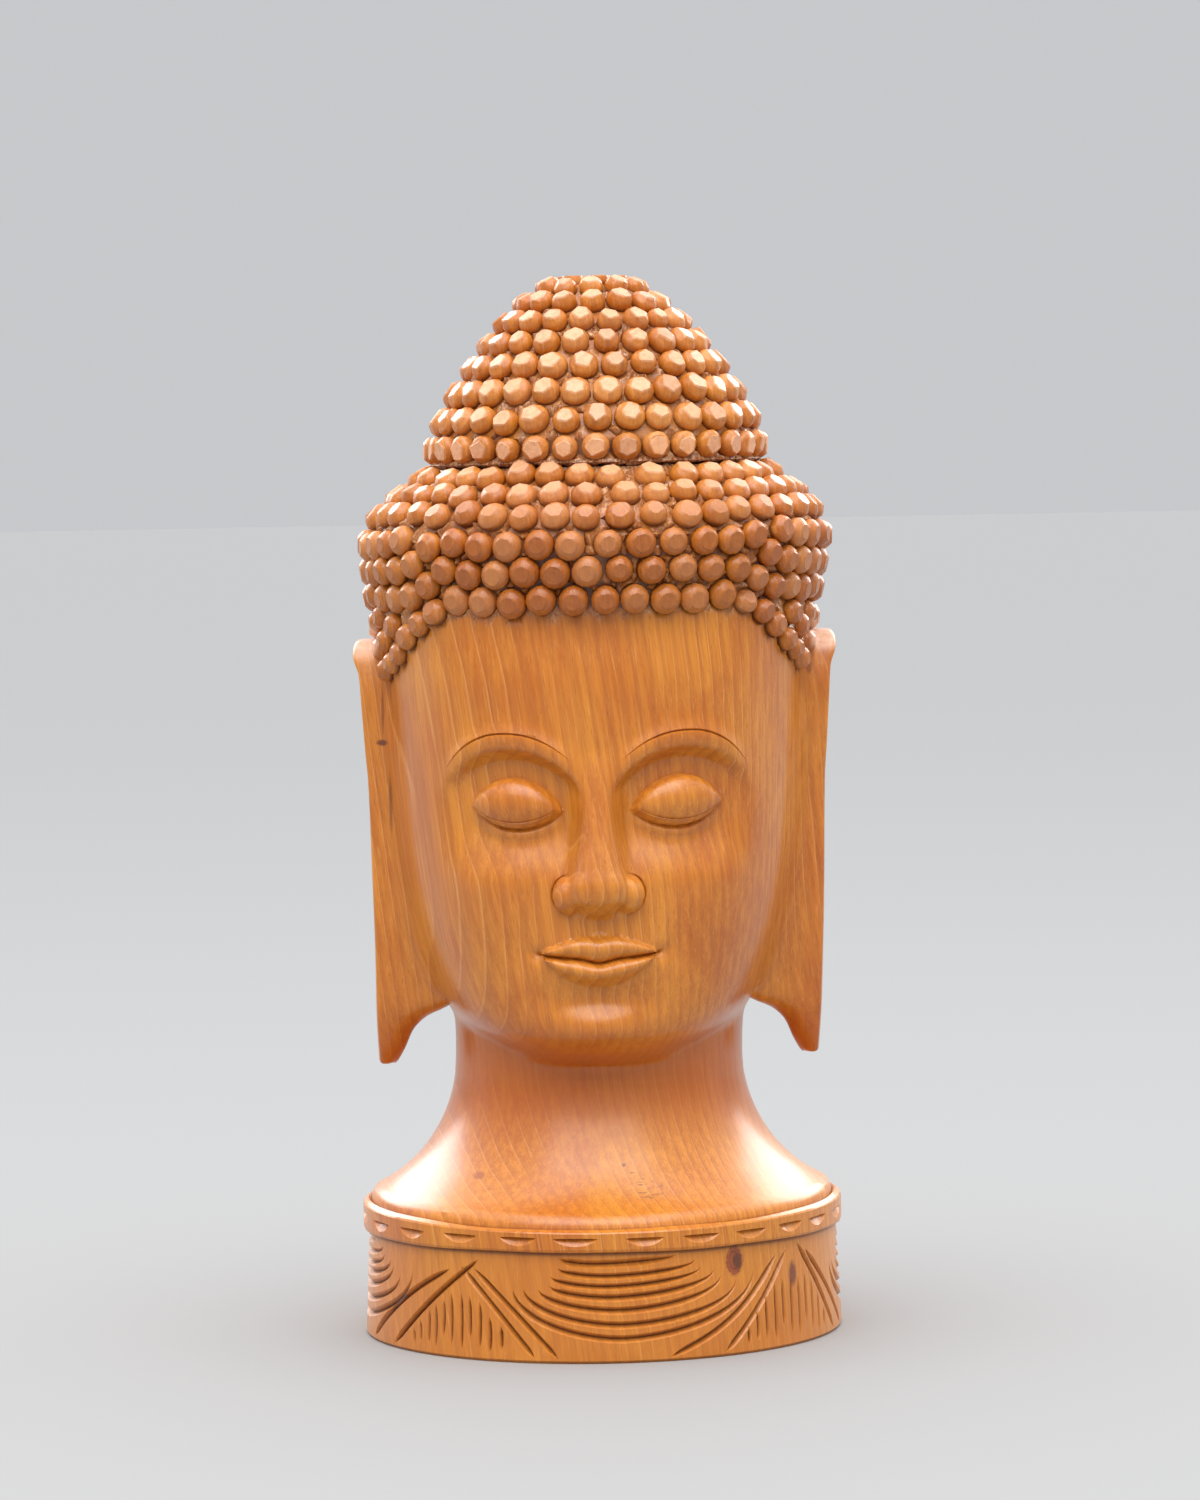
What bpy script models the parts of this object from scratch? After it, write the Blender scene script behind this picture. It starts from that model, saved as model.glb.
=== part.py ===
"""Carved wooden Buddha head on a round base, one solid piece of wood.

Metres, +Z up. The origin is the centre of the flat underside. The face looks
along -Y and +X is on the viewer's right. The base, neck, head, ears and
topknot are all cut from one round billet about 92 mm across.
"""

import math

import bmesh
import bpy
import numpy as np

for old in list(bpy.data.objects):
    bpy.data.objects.remove(old, do_unlink=True)

MM = 0.001

# ---------------------------------------------------------------- dimensions
HEIGHT = 203.0          # whole figure, underside to the sawn top

# base
DRUM_FOOT_R = 46.0      # drum radius at the underside
DRUM_TOP_R = 45.1       # drum radius under the band
DRUM_H = 20.1
FOOT_CHAMFER = 0.5
BAND_R = 46.1           # plain band round the top of the drum
BAND_TOP = 24.7
RIM_GROOVE_R = 43.5     # thin line between the band and the flare
RIM_GROOVE_Z = 27.6

# neck
NECK_R = 27.6
COVE_R = 28.5           # the flare is one circular cove
COVE_Z = 53.5           # height of the cove's centre

# head
HEAD_SHIFT_X = 0.5      # the head sits a little off the base axis
HEAD_ROLL = 0.006       # and leans a little, the left ear lower
HAIRLINE = 139.7
CURL_H = 2.3            # how far a curl stands out
CURL_PITCH = 5.5
HAIR_ROWS = (           # middle height of each full row and its curls
    (142.4, 47), (147.8, 47), (153.0, 46), (157.9, 44), (162.0, 41), (165.4, 37),
)
KERF_R = 29.3           # narrow groove under the topknot
KERF_Z = 167.6
KNOT_ROWS = (
    (170.5, 33), (176.0, 32), (181.2, 30), (186.0, 27), (190.2, 24), (194.2, 21),
    (197.7, 17), (200.6, 13),
)
KNOT_TOP_R = 7.8        # the flat sawn top, inside the last curls
KNOT_SLOPE = 34.3       # topknot outline: radius squared falls this much per mm
NAPE = 80.0             # lowest edge of the hair at the back

# face, on plain thirds of the height between hairline and chin
THIRD = 27.4
CHIN_Z = 56.5
NOSE_Z = CHIN_Z + THIRD
BROW_Z = NOSE_Z + THIRD
EYE_Z = BROW_Z - 8.0
EYE_U = 15.6            # middle of each eye from the midline
EYE_HALF = 8.6
MOUTH_Z = NOSE_Z - THIRD / 3.0
MOUTH_HALF = 11.5
NOSE_HALF = 7.4
NOSE_OUT = 6.4

# ears
EAR_TOP = 133.8
EAR_FOOT = 51.6


# ------------------------------------------------------------ small functions
def step(a, b, t):
    """Smooth step from 0 at a to 1 at b."""
    u = np.clip((t - a) / (b - a), 0.0, 1.0)
    return u * u * (3.0 - 2.0 * u)


def bell(t, width):
    return np.exp(-(t / width) ** 2)


def larger(a, b, blend):
    """The larger of two radii, with a rounded inner corner."""
    return 0.5 * (a + b + np.sqrt((a - b) ** 2 + blend * blend))


def curve(knots, t):
    """Smooth curve through a few (position, value) pairs, without overshoot."""
    x = np.array([k[0] for k in knots], float)
    y = np.array([k[1] for k in knots], float)
    h, d = np.diff(x), np.diff(y) / np.diff(x)
    m = np.zeros(len(x))
    for i in range(1, len(x) - 1):
        if d[i - 1] * d[i] > 0:
            w1, w2 = 2 * h[i] + h[i - 1], h[i] + 2 * h[i - 1]
            m[i] = (w1 + w2) / (w1 / d[i - 1] + w2 / d[i])
    m[0], m[-1] = d[0], d[-1]
    t = np.clip(t, x[0], x[-1])
    i = np.clip(np.searchsorted(x, t, side="right") - 1, 0, len(h) - 1)
    s = (t - x[i]) / h[i]
    return (
        y[i] * (1 + 2 * s) * (1 - s) ** 2
        + m[i] * h[i] * s * (1 - s) ** 2
        + y[i + 1] * s * s * (3 - 2 * s)
        + m[i + 1] * h[i] * s * s * (s - 1)
    )


# ------------------------------------------------------------ the carved form
# Half sizes of the head at each height: to the front, to the side, to the back.
FRONT = ((52, 20), (54.5, 30), (57, 35.6), (61, 38.4), (67, 39.3), (80, 39.9),
         (95, 40.3), (110, 41.2), (125, 41.3), (138.5, 40.2), (140.5, 41.4))
SIDE = ((56, 19), (60, 25.5), (64, 29.3), (70, 32.4), (80, 35.6), (92, 37.7),
        (105, 38.9), (120, 39.9), (139, 41.2))
BACK = ((64, 20), (70, 26.5), (78, 31.8), (88, 36.2), (100, 39.4), (115, 41.2),
        (130, 41.6), (139, 41.4))
# Ground under the curls, above the hairline.
HAIR = ((139, 41.3), (145, 42.4), (150, 43.2), (153, 43.3), (155.8, 42.3),
        (159, 39.6), (162, 36.0), (165.6, 31.4), (KERF_Z, KERF_R))


def base_radius(z):
    """Outline of the drum, band and flared neck."""
    drum = DRUM_FOOT_R + (DRUM_TOP_R - DRUM_FOOT_R) * z / DRUM_H
    if z < FOOT_CHAMFER:
        return drum - (FOOT_CHAMFER - z)
    if z <= DRUM_H + 1e-6:
        return drum
    if z <= BAND_TOP + 1e-6:
        return BAND_R
    if z <= RIM_GROOVE_Z:
        t = (z - BAND_TOP) / (RIM_GROOVE_Z - BAND_TOP)
        return BAND_R - (BAND_R - RIM_GROOVE_R) * t ** 1.7
    if z < COVE_Z:
        q = (COVE_Z - z) / COVE_R
        return NECK_R + COVE_R * (1.0 - math.sqrt(max(0.0, 1.0 - q * q)))
    return NECK_R


def knot_radius(z):
    """Ground under the topknot's curls."""
    outline = math.sqrt(KNOT_SLOPE * max(0.5, HEIGHT + 1.2 - z))
    slope = KNOT_SLOPE / (2.0 * outline)
    ground = outline - CURL_H * math.sqrt(1.0 + slope * slope) * 0.92
    foot = 31.0 + 0.2 * (z - KERF_Z)
    return max(min(ground, foot), KNOT_TOP_R)


def face_relief(u, z):
    """Carving of the face: u is measured round the head from the midline."""
    a = abs(u)
    side = a - EYE_U
    # hollow under each brow and beside the nose
    d = -3.4 * math.exp(-((side / 12.0) ** 4) - (((z - EYE_Z - 0.5) / 8.6) ** 4))
    # arched brow
    arch = BROW_Z + 1.4 - 0.020 * (a - 14.0) ** 2
    d += 1.3 * bell(z - arch, 2.6) * step(1.0, 6.0, a) * (1 - step(25.0, 30.0, a))
    # closed lid
    lid = 1.0 - (side / (EYE_HALF + 1.6)) ** 2 - ((z - EYE_Z + 0.8) / 6.4) ** 2
    d += 3.6 * math.sqrt(max(0.0, lid))
    # nose: ridge, rounded tip, wings
    drop = float(np.clip((BROW_Z - 3.0 - z) / (BROW_Z - 3.0 - NOSE_Z - 4.6), 0, 1))
    out = 1.2 + (NOSE_OUT - 1.2) * drop ** 1.15
    wide = 3.1 + 1.9 * drop
    under = step(NOSE_Z - 1.0, NOSE_Z + 3.4, z)
    top = 1.0 - step(BROW_Z - 5.0, BROW_Z + 5.0, z)
    d += out * math.exp(-((a / wide) ** 2.6)) * under * top
    d += 3.1 * bell(a - 5.4, 2.6) * bell(z - NOSE_Z - 3.0, 3.4)
    # cheeks
    d += 1.2 * bell(a - 22.0, 11.0) * bell(z - NOSE_Z - 4.0, 13.0)
    # lips
    inside = step(MOUTH_HALF + 2.0, MOUTH_HALF - 4.0, a)
    corner = 0.006 * a * a
    d += 2.5 * bell(z - MOUTH_Z - 2.2 - corner, 2.1) * inside
    d += 2.4 * bell(z - MOUTH_Z + 2.3 - corner, 2.3) * step(MOUTH_HALF, MOUTH_HALF - 6.0, a)
    d -= 1.5 * bell(z - MOUTH_Z - corner, 0.9) * step(MOUTH_HALF + 3.0, MOUTH_HALF, a)
    # groove under the nose, hollow under the lower lip, chin
    d -= 0.6 * bell(u, 1.6) * bell(z - NOSE_Z + 3.0, 2.4)
    d -= 1.3 * bell(a, 9.0) * bell(z - MOUTH_Z + 7.4, 3.0)
    d += 1.9 * bell(a, 8.5) * bell(z - CHIN_Z - 5.0, 4.6)
    return d


def body_radius(theta, z):
    """Radius of the ground surface at an angle from the front and a height."""
    if z > KERF_Z:
        return knot_radius(z)
    if z < 50.0:
        return base_radius(z)
    c, s = math.cos(theta), abs(math.sin(theta))
    if z > 140.5:
        return float(curve(HAIR, z))
    deep = float(curve(FRONT if c >= 0 else BACK, z))
    wide = float(curve(SIDE, z))
    n = 2.0 + 0.3 * max(c, 0.0)
    head = ((abs(c) / deep) ** n + (s / wide) ** n) ** (-1.0 / n)
    u = 40.0 * theta
    if abs(u) < 44.0 and z < 140.0:
        head += face_relief(u, z) * (1.0 - step(32.0, 44.0, abs(u)))
    if z > 139.0:
        t = step(139.0, 140.5, z)
        head = head * (1 - t) + float(curve(HAIR, z)) * t
    return float(larger(head, base_radius(z), 1.6 * (1 - step(60, 90, z))))


def place(x, y, z):
    """Head's small shift and lean, none at the base."""
    w = float(step(52.0, 84.0, z))
    return (x + HEAD_SHIFT_X * w) * MM, y * MM, (z + HEAD_ROLL * x * w) * MM


def ground(theta, z):
    r = body_radius(theta, z)
    return np.array((r * math.sin(theta), -r * math.cos(theta), z))


def raised(theta, z, height):
    """Point standing off the ground surface along its normal."""
    e = 0.02
    du = ground(theta + e, z) - ground(theta - e, z)
    dv = ground(theta, z + 0.8) - ground(theta, z - 0.8)
    n = np.cross(du, dv)
    return ground(theta, z) + n / np.linalg.norm(n) * height


# --------------------------------------------------------- cells of the skin
# The skin is a tiling by cells in angle and height. Cells may be of different
# widths: each takes in every corner that lies on its edges, so it is closed.
TURN = 360000
level_sets, column_sets = {}, {}


def key_angle(deg):
    return int(round(deg * 1000.0)) % TURN


def key_z(z):
    return int(round(z * 1000.0))


def note(a, z):
    level_sets.setdefault(z, set()).add(a)
    column_sets.setdefault(a, set()).add(z)


cells = []      # (low left, low right, low z, high left, high right, high z, curl)


def add_cell(al, ar, z0, bl, br, z1, curl=False):
    for a, z in ((al, z0), (ar, z0), (bl, z1), (br, z1)):
        note(a, z)
    cells.append((al, ar, z0, bl, br, z1, curl))


# face columns: fine over the face, wider towards the ears
fine = [i * 3.4 for i in range(-12, 13)]
wide_cols = [46.0, 51.0, 56.0, 61.0, 66.0, 71.0, 77.0, 84.0, 90.5, 97.0]
FACE_COLS = [-c for c in reversed(wide_cols)] + fine + wide_cols
EAR_BACK = 97.0
CENTRE_EDGE = fine[-1]

# partial rows of curls below the hairline: lower edge and where each starts
row_edges = [HAIRLINE - i * CURL_PITCH for i in range(12)]
row_start = [66.0, 71.0, 77.0] + [EAR_BACK] * 8
nape_edge = row_edges[-1]

forehead = [row_edges[0], row_edges[1], row_edges[2], row_edges[3], 118.6, 114.6]
features = [111.4, 109.2, 107.0, 104.8, 102.6, 100.4, 98.0, 95.4, 92.8, 90.4, 88.4,
            86.4, 84.6, 82.8, 80.8, 78.8, 77.0, 75.4, 74.2, 73.0, 71.4, 69.4, 67.2,
            64.6, 62.0, 59.4, 57.4, 55.8, 54.4, 53.0]
face_levels = forehead + features

for i in range(len(face_levels) - 1):
    zt, zb = face_levels[i], face_levels[i + 1]
    limit = row_start[i] if i < 3 else EAR_BACK
    for a, b in zip(FACE_COLS, FACE_COLS[1:]):
        if b <= -limit + 1e-6 and a < -limit - 1e-6 or a >= limit - 1e-6:
            continue
        outer = abs(a + b) / 2 > CENTRE_EDGE
        if outer and i >= 5:
            # two rows of the face make one row of the cheek
            if (i - 5) % 2:
                continue
            lower = face_levels[min(i + 2, len(face_levels) - 1)]
        else:
            lower = zb
        add_cell(key_angle(a), key_angle(b), key_z(lower),
                 key_angle(a), key_angle(b), key_z(zt))

# curls: corners of two rows that nearly meet are drawn together
rows = []           # (z low, z high, list of cell edges in degrees, closed ring)
for k in range(11):
    start = row_start[k]
    span = 360.0 - 2 * start
    mid = (row_edges[k] + row_edges[k + 1]) / 2
    round_r = body_radius(math.pi, mid) + 0.5
    n = max(8, int(round(math.radians(span) * round_r / CURL_PITCH)))
    if n % 2 == k % 2:
        n += 1
    edges = [start + span * j / n for j in range(n + 1)]
    rows.append((row_edges[k + 1], row_edges[k], edges, False))


def ring_edges(count, turn):
    return [turn + 360.0 * j / count for j in range(count)]


tops = [HAIRLINE]
for (z, n), (z2, n2) in zip(HAIR_ROWS, HAIR_ROWS[1:]):
    tops.append(round((z + z2) / 2, 3))
tops.append(round(KERF_Z - 0.5, 3))
for k, (z, n) in enumerate(HAIR_ROWS):
    rows.append((tops[k], tops[k + 1], ring_edges(n, 1.7 + 3.9 * k), True))
knots = [round(KERF_Z + 0.5, 3)]
for (z, n), (z2, n2) in zip(KNOT_ROWS, KNOT_ROWS[1:]):
    knots.append(round((z + z2) / 2, 3))
knots.append(202.2)
for k, (z, n) in enumerate(KNOT_ROWS):
    rows.append((knots[k], knots[k + 1], ring_edges(n, 2.3 + 5.1 * k), True))

fixed = {}
for z, angles in level_sets.items():
    fixed.setdefault(z, set()).update(angles)
loose = {}
for z0, z1, edges, closed in rows:
    for z in (key_z(z0), key_z(z1)):
        for j, e in enumerate(edges):
            a = key_angle(e)
            if not closed and j in (0, len(edges) - 1):
                fixed.setdefault(z, set()).add(a)
            else:
                loose.setdefault(z, set()).add(a)


def gap(a, b):
    d = abs(a - b) % TURN
    return min(d, TURN - d)


snap = {}
for z, angles in loose.items():
    kept = sorted(fixed.get(z, ()))
    near = 1500
    table = {}
    free = []
    for a in sorted(angles):
        best = min(kept, key=lambda f: gap(a, f)) if kept else None
        if best is not None and gap(a, best) < near:
            table[a] = best
        else:
            free.append(a)
    group = []
    groups = []
    for a in free:
        if group and a - group[-1] < near * 1.3:
            group.append(a)
        else:
            group = [a]
            groups.append(group)
    if len(groups) > 1 and gap(groups[0][0], groups[-1][-1]) < near * 1.3:
        tail = groups.pop()
        groups[0] = [x - TURN for x in tail] + groups[0]
    for g in groups:
        mean = int(round(sum(g) / len(g))) % TURN
        for a in g:
            table[a % TURN] = mean
    snap[z] = table

for z0, z1, edges, closed in rows:
    k0, k1 = key_z(z0), key_z(z1)
    keys = [key_angle(e) for e in edges]
    if closed:
        keys.append(keys[0])
    for a, b in zip(keys, keys[1:]):
        al, ar = (snap.get(k0, {}).get(v, v) for v in (a, b))
        bl, br = (snap.get(k1, {}).get(v, v) for v in (a, b))
        add_cell(al, ar, k0, bl, br, k1, True)

# nape below the curls, behind the ears
back_cols = [EAR_BACK + (360 - 2 * EAR_BACK) * j / 26 for j in range(27)]
back_levels = [nape_edge, 75.4, 71.4, 67.2, 62.0, 57.4, 53.0]
for zt, zb in zip(back_levels, back_levels[1:]):
    for a, b in zip(back_cols, back_cols[1:]):
        add_cell(key_angle(a), key_angle(b), key_z(zb),
                 key_angle(a), key_angle(b), key_z(zt))
# strip between the last curls and the nape is closed by the shared corners

# neck, flare, band and drum
BASE_COLS = [i * 6.0 for i in range(60)]
base_levels = [53.0, 48.5, 44.2, 40.4, 37.0, 34.2, 31.8, 29.8, 28.3, RIM_GROOVE_Z,
               26.9, 25.8, BAND_TOP, DRUM_H + 0.25, DRUM_H, 10.0, FOOT_CHAMFER, 0.0]
neck_line = sorted(level_sets[key_z(base_levels[0])])


def joined(a, z):
    """A column of the neck starts from a face column where the two nearly meet."""
    if z != base_levels[0]:
        return a
    best = min(neck_line, key=lambda f: gap(a, f))
    return best if gap(a, best) < 1500 else a


for zt, zb in zip(base_levels, base_levels[1:]):
    for j in range(60):
        a, b = key_angle(BASE_COLS[j]), key_angle(BASE_COLS[(j + 1) % 60])
        add_cell(a, b, key_z(zb), joined(a, zt), joined(b, zt), key_z(zt))

# narrow groove between the hair and the topknot
kerf_levels = [key_z(KERF_Z - 0.5), key_z(KERF_Z + 0.5)]

# ------------------------------------------------------------------ the mesh
bm = bmesh.new()
verts = {}


def vertex(a, z):
    if (a, z) not in verts:
        theta = math.radians(a / 1000.0)
        if theta > math.pi:
            theta -= 2 * math.pi
        p = ground(theta, z / 1000.0)
        verts[a, z] = bm.verts.new(place(*p))
    return verts[a, z]


def between(z, a, b):
    """Corners on a level strictly inside the way from a to b."""
    span = (b - a) % TURN
    found = [(k - a) % TURN for k in level_sets[z]]
    return [(a + k) % TURN for k in sorted(found) if 0 < k < span]


def rising(a, z0, z1):
    return sorted(z for z in column_sets[a] if z0 < z < z1)


def loop_of(cell):
    al, ar, z0, bl, br, z1, curl = cell
    out = [(al, z0)] + [(k, z0) for k in between(z0, al, ar)] + [(ar, z0)]
    if ar == br:
        out += [(ar, z) for z in rising(ar, z0, z1)]
    out += [(br, z1)] + [(k, z1) for k in reversed(between(z1, bl, br))] + [(bl, z1)]
    if al == bl:
        out += [(al, z) for z in reversed(rising(al, z0, z1))]
    return out


for cell in cells:
    keys = loop_of(cell)
    corner = [vertex(*k) for k in keys]
    if not cell[6]:
        if len(corner) == 4:
            bm.faces.new(corner)
        else:
            a0 = keys[0][0] - TURN // 4
            span = sum((k[0] - a0) % TURN for k in keys) / len(keys)
            theta = math.radians(((a0 + span) % TURN) / 1000.0)
            if theta > math.pi:
                theta -= 2 * math.pi
            zc = sum(k[1] for k in keys) / len(keys) / 1000.0
            mid = bm.verts.new(place(*ground(theta, zc)))
            for p, q in zip(corner, corner[1:] + corner[:1]):
                bm.faces.new((p, q, mid))
        continue
    al, ar, z0, bl, br, z1, curl = cell
    lo = al + ((ar - al) % TURN) / 2.0
    hi = bl + ((br - bl) % TURN) / 2.0
    if hi - lo > TURN / 2:
        hi -= TURN
    if lo - hi > TURN / 2:
        lo -= TURN
    theta = math.radians((((lo + hi) / 2.0) % TURN) / 1000.0)
    if theta > math.pi:
        theta -= 2 * math.pi
    tip = raised(theta, (z0 + z1) / 2000.0, CURL_H)
    tip[2] = min(tip[2], HEIGHT - 0.1)
    mid = bm.verts.new(place(*tip))
    for p, q in zip(corner, corner[1:] + corner[:1]):
        bm.faces.new((p, q, mid))


def ring(z):
    return [vertex(a, z) for a in sorted(level_sets[z])]


# groove walls: both rims step in to one narrow ring
low_ring, high_ring = (sorted(level_sets[z]) for z in kerf_levels)
inner_n = 36
inner = []
for j in range(inner_n):
    t = 2 * math.pi * j / inner_n
    r = KERF_R - 1.2
    inner.append((j * TURN // inner_n,
                  bm.verts.new(place(r * math.sin(t), -r * math.cos(t), KERF_Z))))


def stitch(lower, upper):
    """Triangles between two closed rings of (angle, vertex)."""
    i = j = 0
    n, m = len(lower), len(upper)
    while i < n or j < m:
        a, b = lower[i % n], upper[j % m]
        a2, b2 = lower[(i + 1) % n], upper[(j + 1) % m]
        pa = (a2[0] + (TURN if i + 1 >= n else 0)) if i < n else None
        pb = (b2[0] + (TURN if j + 1 >= m else 0)) if j < m else None
        if pb is None or (pa is not None and pa <= pb):
            bm.faces.new((a[1], a2[1], b[1]))
            i += 1
        else:
            bm.faces.new((a[1], b2[1], b[1]))
            j += 1


stitch([(a, vertex(a, kerf_levels[0])) for a in low_ring], inner)
stitch(inner, [(a, vertex(a, kerf_levels[1])) for a in high_ring])

# flat sawn top: a short wall, then the cap
last = key_z(202.2)
top_n = 24
cap = []
for j in range(top_n):
    t = 2 * math.pi * j / top_n
    cap.append((j * TURN // top_n, bm.verts.new(place(
        (KNOT_TOP_R - 0.5) * math.sin(t), (0.5 - KNOT_TOP_R) * math.cos(t), HEIGHT))))
stitch([(a, vertex(a, last)) for a in sorted(level_sets[last])], cap)
bm.faces.new([v for a, v in cap])

# flat underside
foot = [vertex(a, 0) for a in sorted(level_sets[0])]
bm.faces.new(list(reversed(foot)))

mesh = bpy.data.meshes.new("carved_head")
bmesh.ops.triangulate(bm, faces=list(bm.faces), quad_method="BEAUTY")
bm.to_mesh(mesh)
bm.free()
head = bpy.data.objects.new("carved_head", mesh)
bpy.context.scene.collection.objects.link(head)

# --------------------------------------------------------------------- ears
# Each ear is a long blade, rooted in the side of the head down to the jaw and
# hanging free below it. Sizes are for the right one, at heights from the foot.
EAR_OUT = ((EAR_FOOT, 42.2), (61, 42.7), (71, 42.9), (88, 43.3), (106, 43.7),
           (113, 44.2), (121, 44.7), (127, 45.1), (131, 46.2), (EAR_TOP, 45.9))
EAR_IN = ((EAR_FOOT, 38.6), (54.5, 36.8), (58.5, 34.9), (61.8, 32.4), (64, 27),
          (70, 27), (84, 31), (EAR_TOP, 35))
EAR_FRONT = ((EAR_FOOT, -2.0), (56, -4.2), (64, -6.5), (80, -7.5), (104, -8.3),
             (122, -9.2), (130, -7.7), (EAR_TOP, -4.8))
EAR_BACK_Y = ((EAR_FOOT, 3.5), (56, 5.8), (64, 7.0), (80, 7.5), (104, 10.0),
              (122, 12.0), (130, 11.0), (EAR_TOP, 7.5))
ear_levels = [EAR_FOOT, 53.6, 56.0, 58.8, 61.8, 65.0, 71.0, 79.0, 90.0, 102.0, 113.0,
              121.0, 127.0, 131.0, EAR_TOP]


def ear(side, name):
    em = bmesh.new()
    rings = []
    for z in ear_levels:
        xo, xi = float(curve(EAR_OUT, z)), float(curve(EAR_IN, z))
        yf, yb = float(curve(EAR_FRONT, z)), float(curve(EAR_BACK_Y, z))
        c = min(1.6, 0.3 * (xo - xi), 0.3 * (yb - yf))
        outline = [(xi, yf), (xo - c, yf), (xo, yf + c * 1.4), (xo + 0.25, (yf + yb) / 2),
                   (xo, yb - c * 1.4), (xo - c, yb), (xi, yb)]
        rings.append([em.verts.new(place(side * x, y, z)) for x, y in outline])
    n = len(rings[0])
    for low, high in zip(rings, rings[1:]):
        for j in range(n):
            k = (j + 1) % n
            em.faces.new((low[j], low[k], high[k], high[j]))
    em.faces.new(list(reversed(rings[0])))
    em.faces.new(rings[-1])
    bmesh.ops.recalc_face_normals(em, faces=list(em.faces))
    em_mesh = bpy.data.meshes.new(name)
    em.to_mesh(em_mesh)
    em.free()
    obj = bpy.data.objects.new(name, em_mesh)
    bpy.context.scene.collection.objects.link(obj)
    obj.hide_render = True
    obj.display_type = "WIRE"
    return obj


for side, name in ((-1, "ear_form_left"), (1, "ear_form_right")):
    form = ear(side, name)
    union = head.modifiers.new(name, "BOOLEAN")
    union.operation = "UNION"
    union.object = form

# ----------------------------------------------------------------- material
wood = bpy.data.materials.new("varnished_wood")
wood.use_nodes = True
shader = wood.node_tree.nodes["Principled BSDF"]
shader.inputs["Base Color"].default_value = (0.56, 0.235, 0.085, 1.0)
shader.inputs["Roughness"].default_value = 0.42
shader.inputs["Metallic"].default_value = 0.0
mesh.materials.append(wood)
mesh.shade_smooth()
mesh.set_sharp_from_angle(angle=math.radians(32))
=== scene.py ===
import math

import bmesh
import bpy
import numpy as np
from mathutils import Matrix, Vector
from mathutils.geometry import delaunay_2d_cdt
from mathutils.kdtree import KDTree


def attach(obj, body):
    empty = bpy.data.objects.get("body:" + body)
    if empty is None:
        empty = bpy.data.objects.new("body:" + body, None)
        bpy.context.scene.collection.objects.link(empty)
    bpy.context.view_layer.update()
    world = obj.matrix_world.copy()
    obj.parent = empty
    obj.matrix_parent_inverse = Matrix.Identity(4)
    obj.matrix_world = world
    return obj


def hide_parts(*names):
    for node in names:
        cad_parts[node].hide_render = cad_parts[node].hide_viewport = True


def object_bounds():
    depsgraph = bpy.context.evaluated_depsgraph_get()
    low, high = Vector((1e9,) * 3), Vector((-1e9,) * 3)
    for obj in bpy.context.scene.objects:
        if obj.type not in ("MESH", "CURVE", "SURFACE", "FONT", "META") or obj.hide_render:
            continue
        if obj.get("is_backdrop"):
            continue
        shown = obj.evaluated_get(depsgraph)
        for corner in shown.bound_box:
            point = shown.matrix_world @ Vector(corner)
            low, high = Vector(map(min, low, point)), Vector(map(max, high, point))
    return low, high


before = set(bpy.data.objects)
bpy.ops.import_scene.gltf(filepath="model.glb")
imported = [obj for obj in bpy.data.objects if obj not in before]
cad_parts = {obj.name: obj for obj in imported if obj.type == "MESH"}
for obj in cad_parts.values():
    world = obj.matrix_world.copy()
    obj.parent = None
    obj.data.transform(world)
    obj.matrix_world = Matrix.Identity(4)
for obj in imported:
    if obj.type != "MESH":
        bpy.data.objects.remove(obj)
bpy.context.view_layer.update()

MM = 0.001
PI = math.pi
rng = np.random.default_rng(7)

# ---------------------------------------------------------------- dimensions
# Millimetres. theta is the angle from the front, positive towards +X.
HEIGHT = 203.0
SAWN_TOP = 202.5
NECK_R, COVE_R, COVE_Z = 27.6, 28.5, 53.5
HEAD_ROLL = 0.006
SHIFT = ((52, 0.0), (84, 0.5), (134, 0.5), (150, 0.85), (168, 1.5), (178, 1.6), (203, 1.0))
HAIRLINE = 138.7
KNOT_SLOPE, CURL_H = 34.3, 2.3
NECK_V = 50.0
CROWN_Z = 166.0


def step(a, b, t):
    u = np.clip((t - a) / (b - a), 0.0, 1.0)
    return u * u * (3.0 - 2.0 * u)


def bell(t, width):
    return np.exp(-(t / width) ** 2)


def larger(a, b, blend):
    return 0.5 * (a + b + np.sqrt((a - b) ** 2 + blend * blend))


def curve(knots, t):
    """Smooth curve through a few (position, value) pairs, without overshoot."""
    x = np.array([k[0] for k in knots], float)
    y = np.array([k[1] for k in knots], float)
    h, d = np.diff(x), np.diff(y) / np.diff(x)
    m = np.zeros(len(x))
    for i in range(1, len(x) - 1):
        if d[i - 1] * d[i] > 0:
            w1, w2 = 2 * h[i] + h[i - 1], h[i] + 2 * h[i - 1]
            m[i] = (w1 + w2) / (w1 / d[i - 1] + w2 / d[i])
    m[0], m[-1] = d[0], d[-1]
    t = np.clip(np.asarray(t, float), x[0], x[-1])
    i = np.clip(np.searchsorted(x, t, side="right") - 1, 0, len(h) - 1)
    s = (t - x[i]) / h[i]
    return (
        y[i] * (1 + 2 * s) * (1 - s) ** 2
        + m[i] * h[i] * s * (1 - s) ** 2
        + y[i + 1] * s * s * (3 - 2 * s)
        + m[i + 1] * h[i] * s * s * (s - 1)
    )


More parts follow.
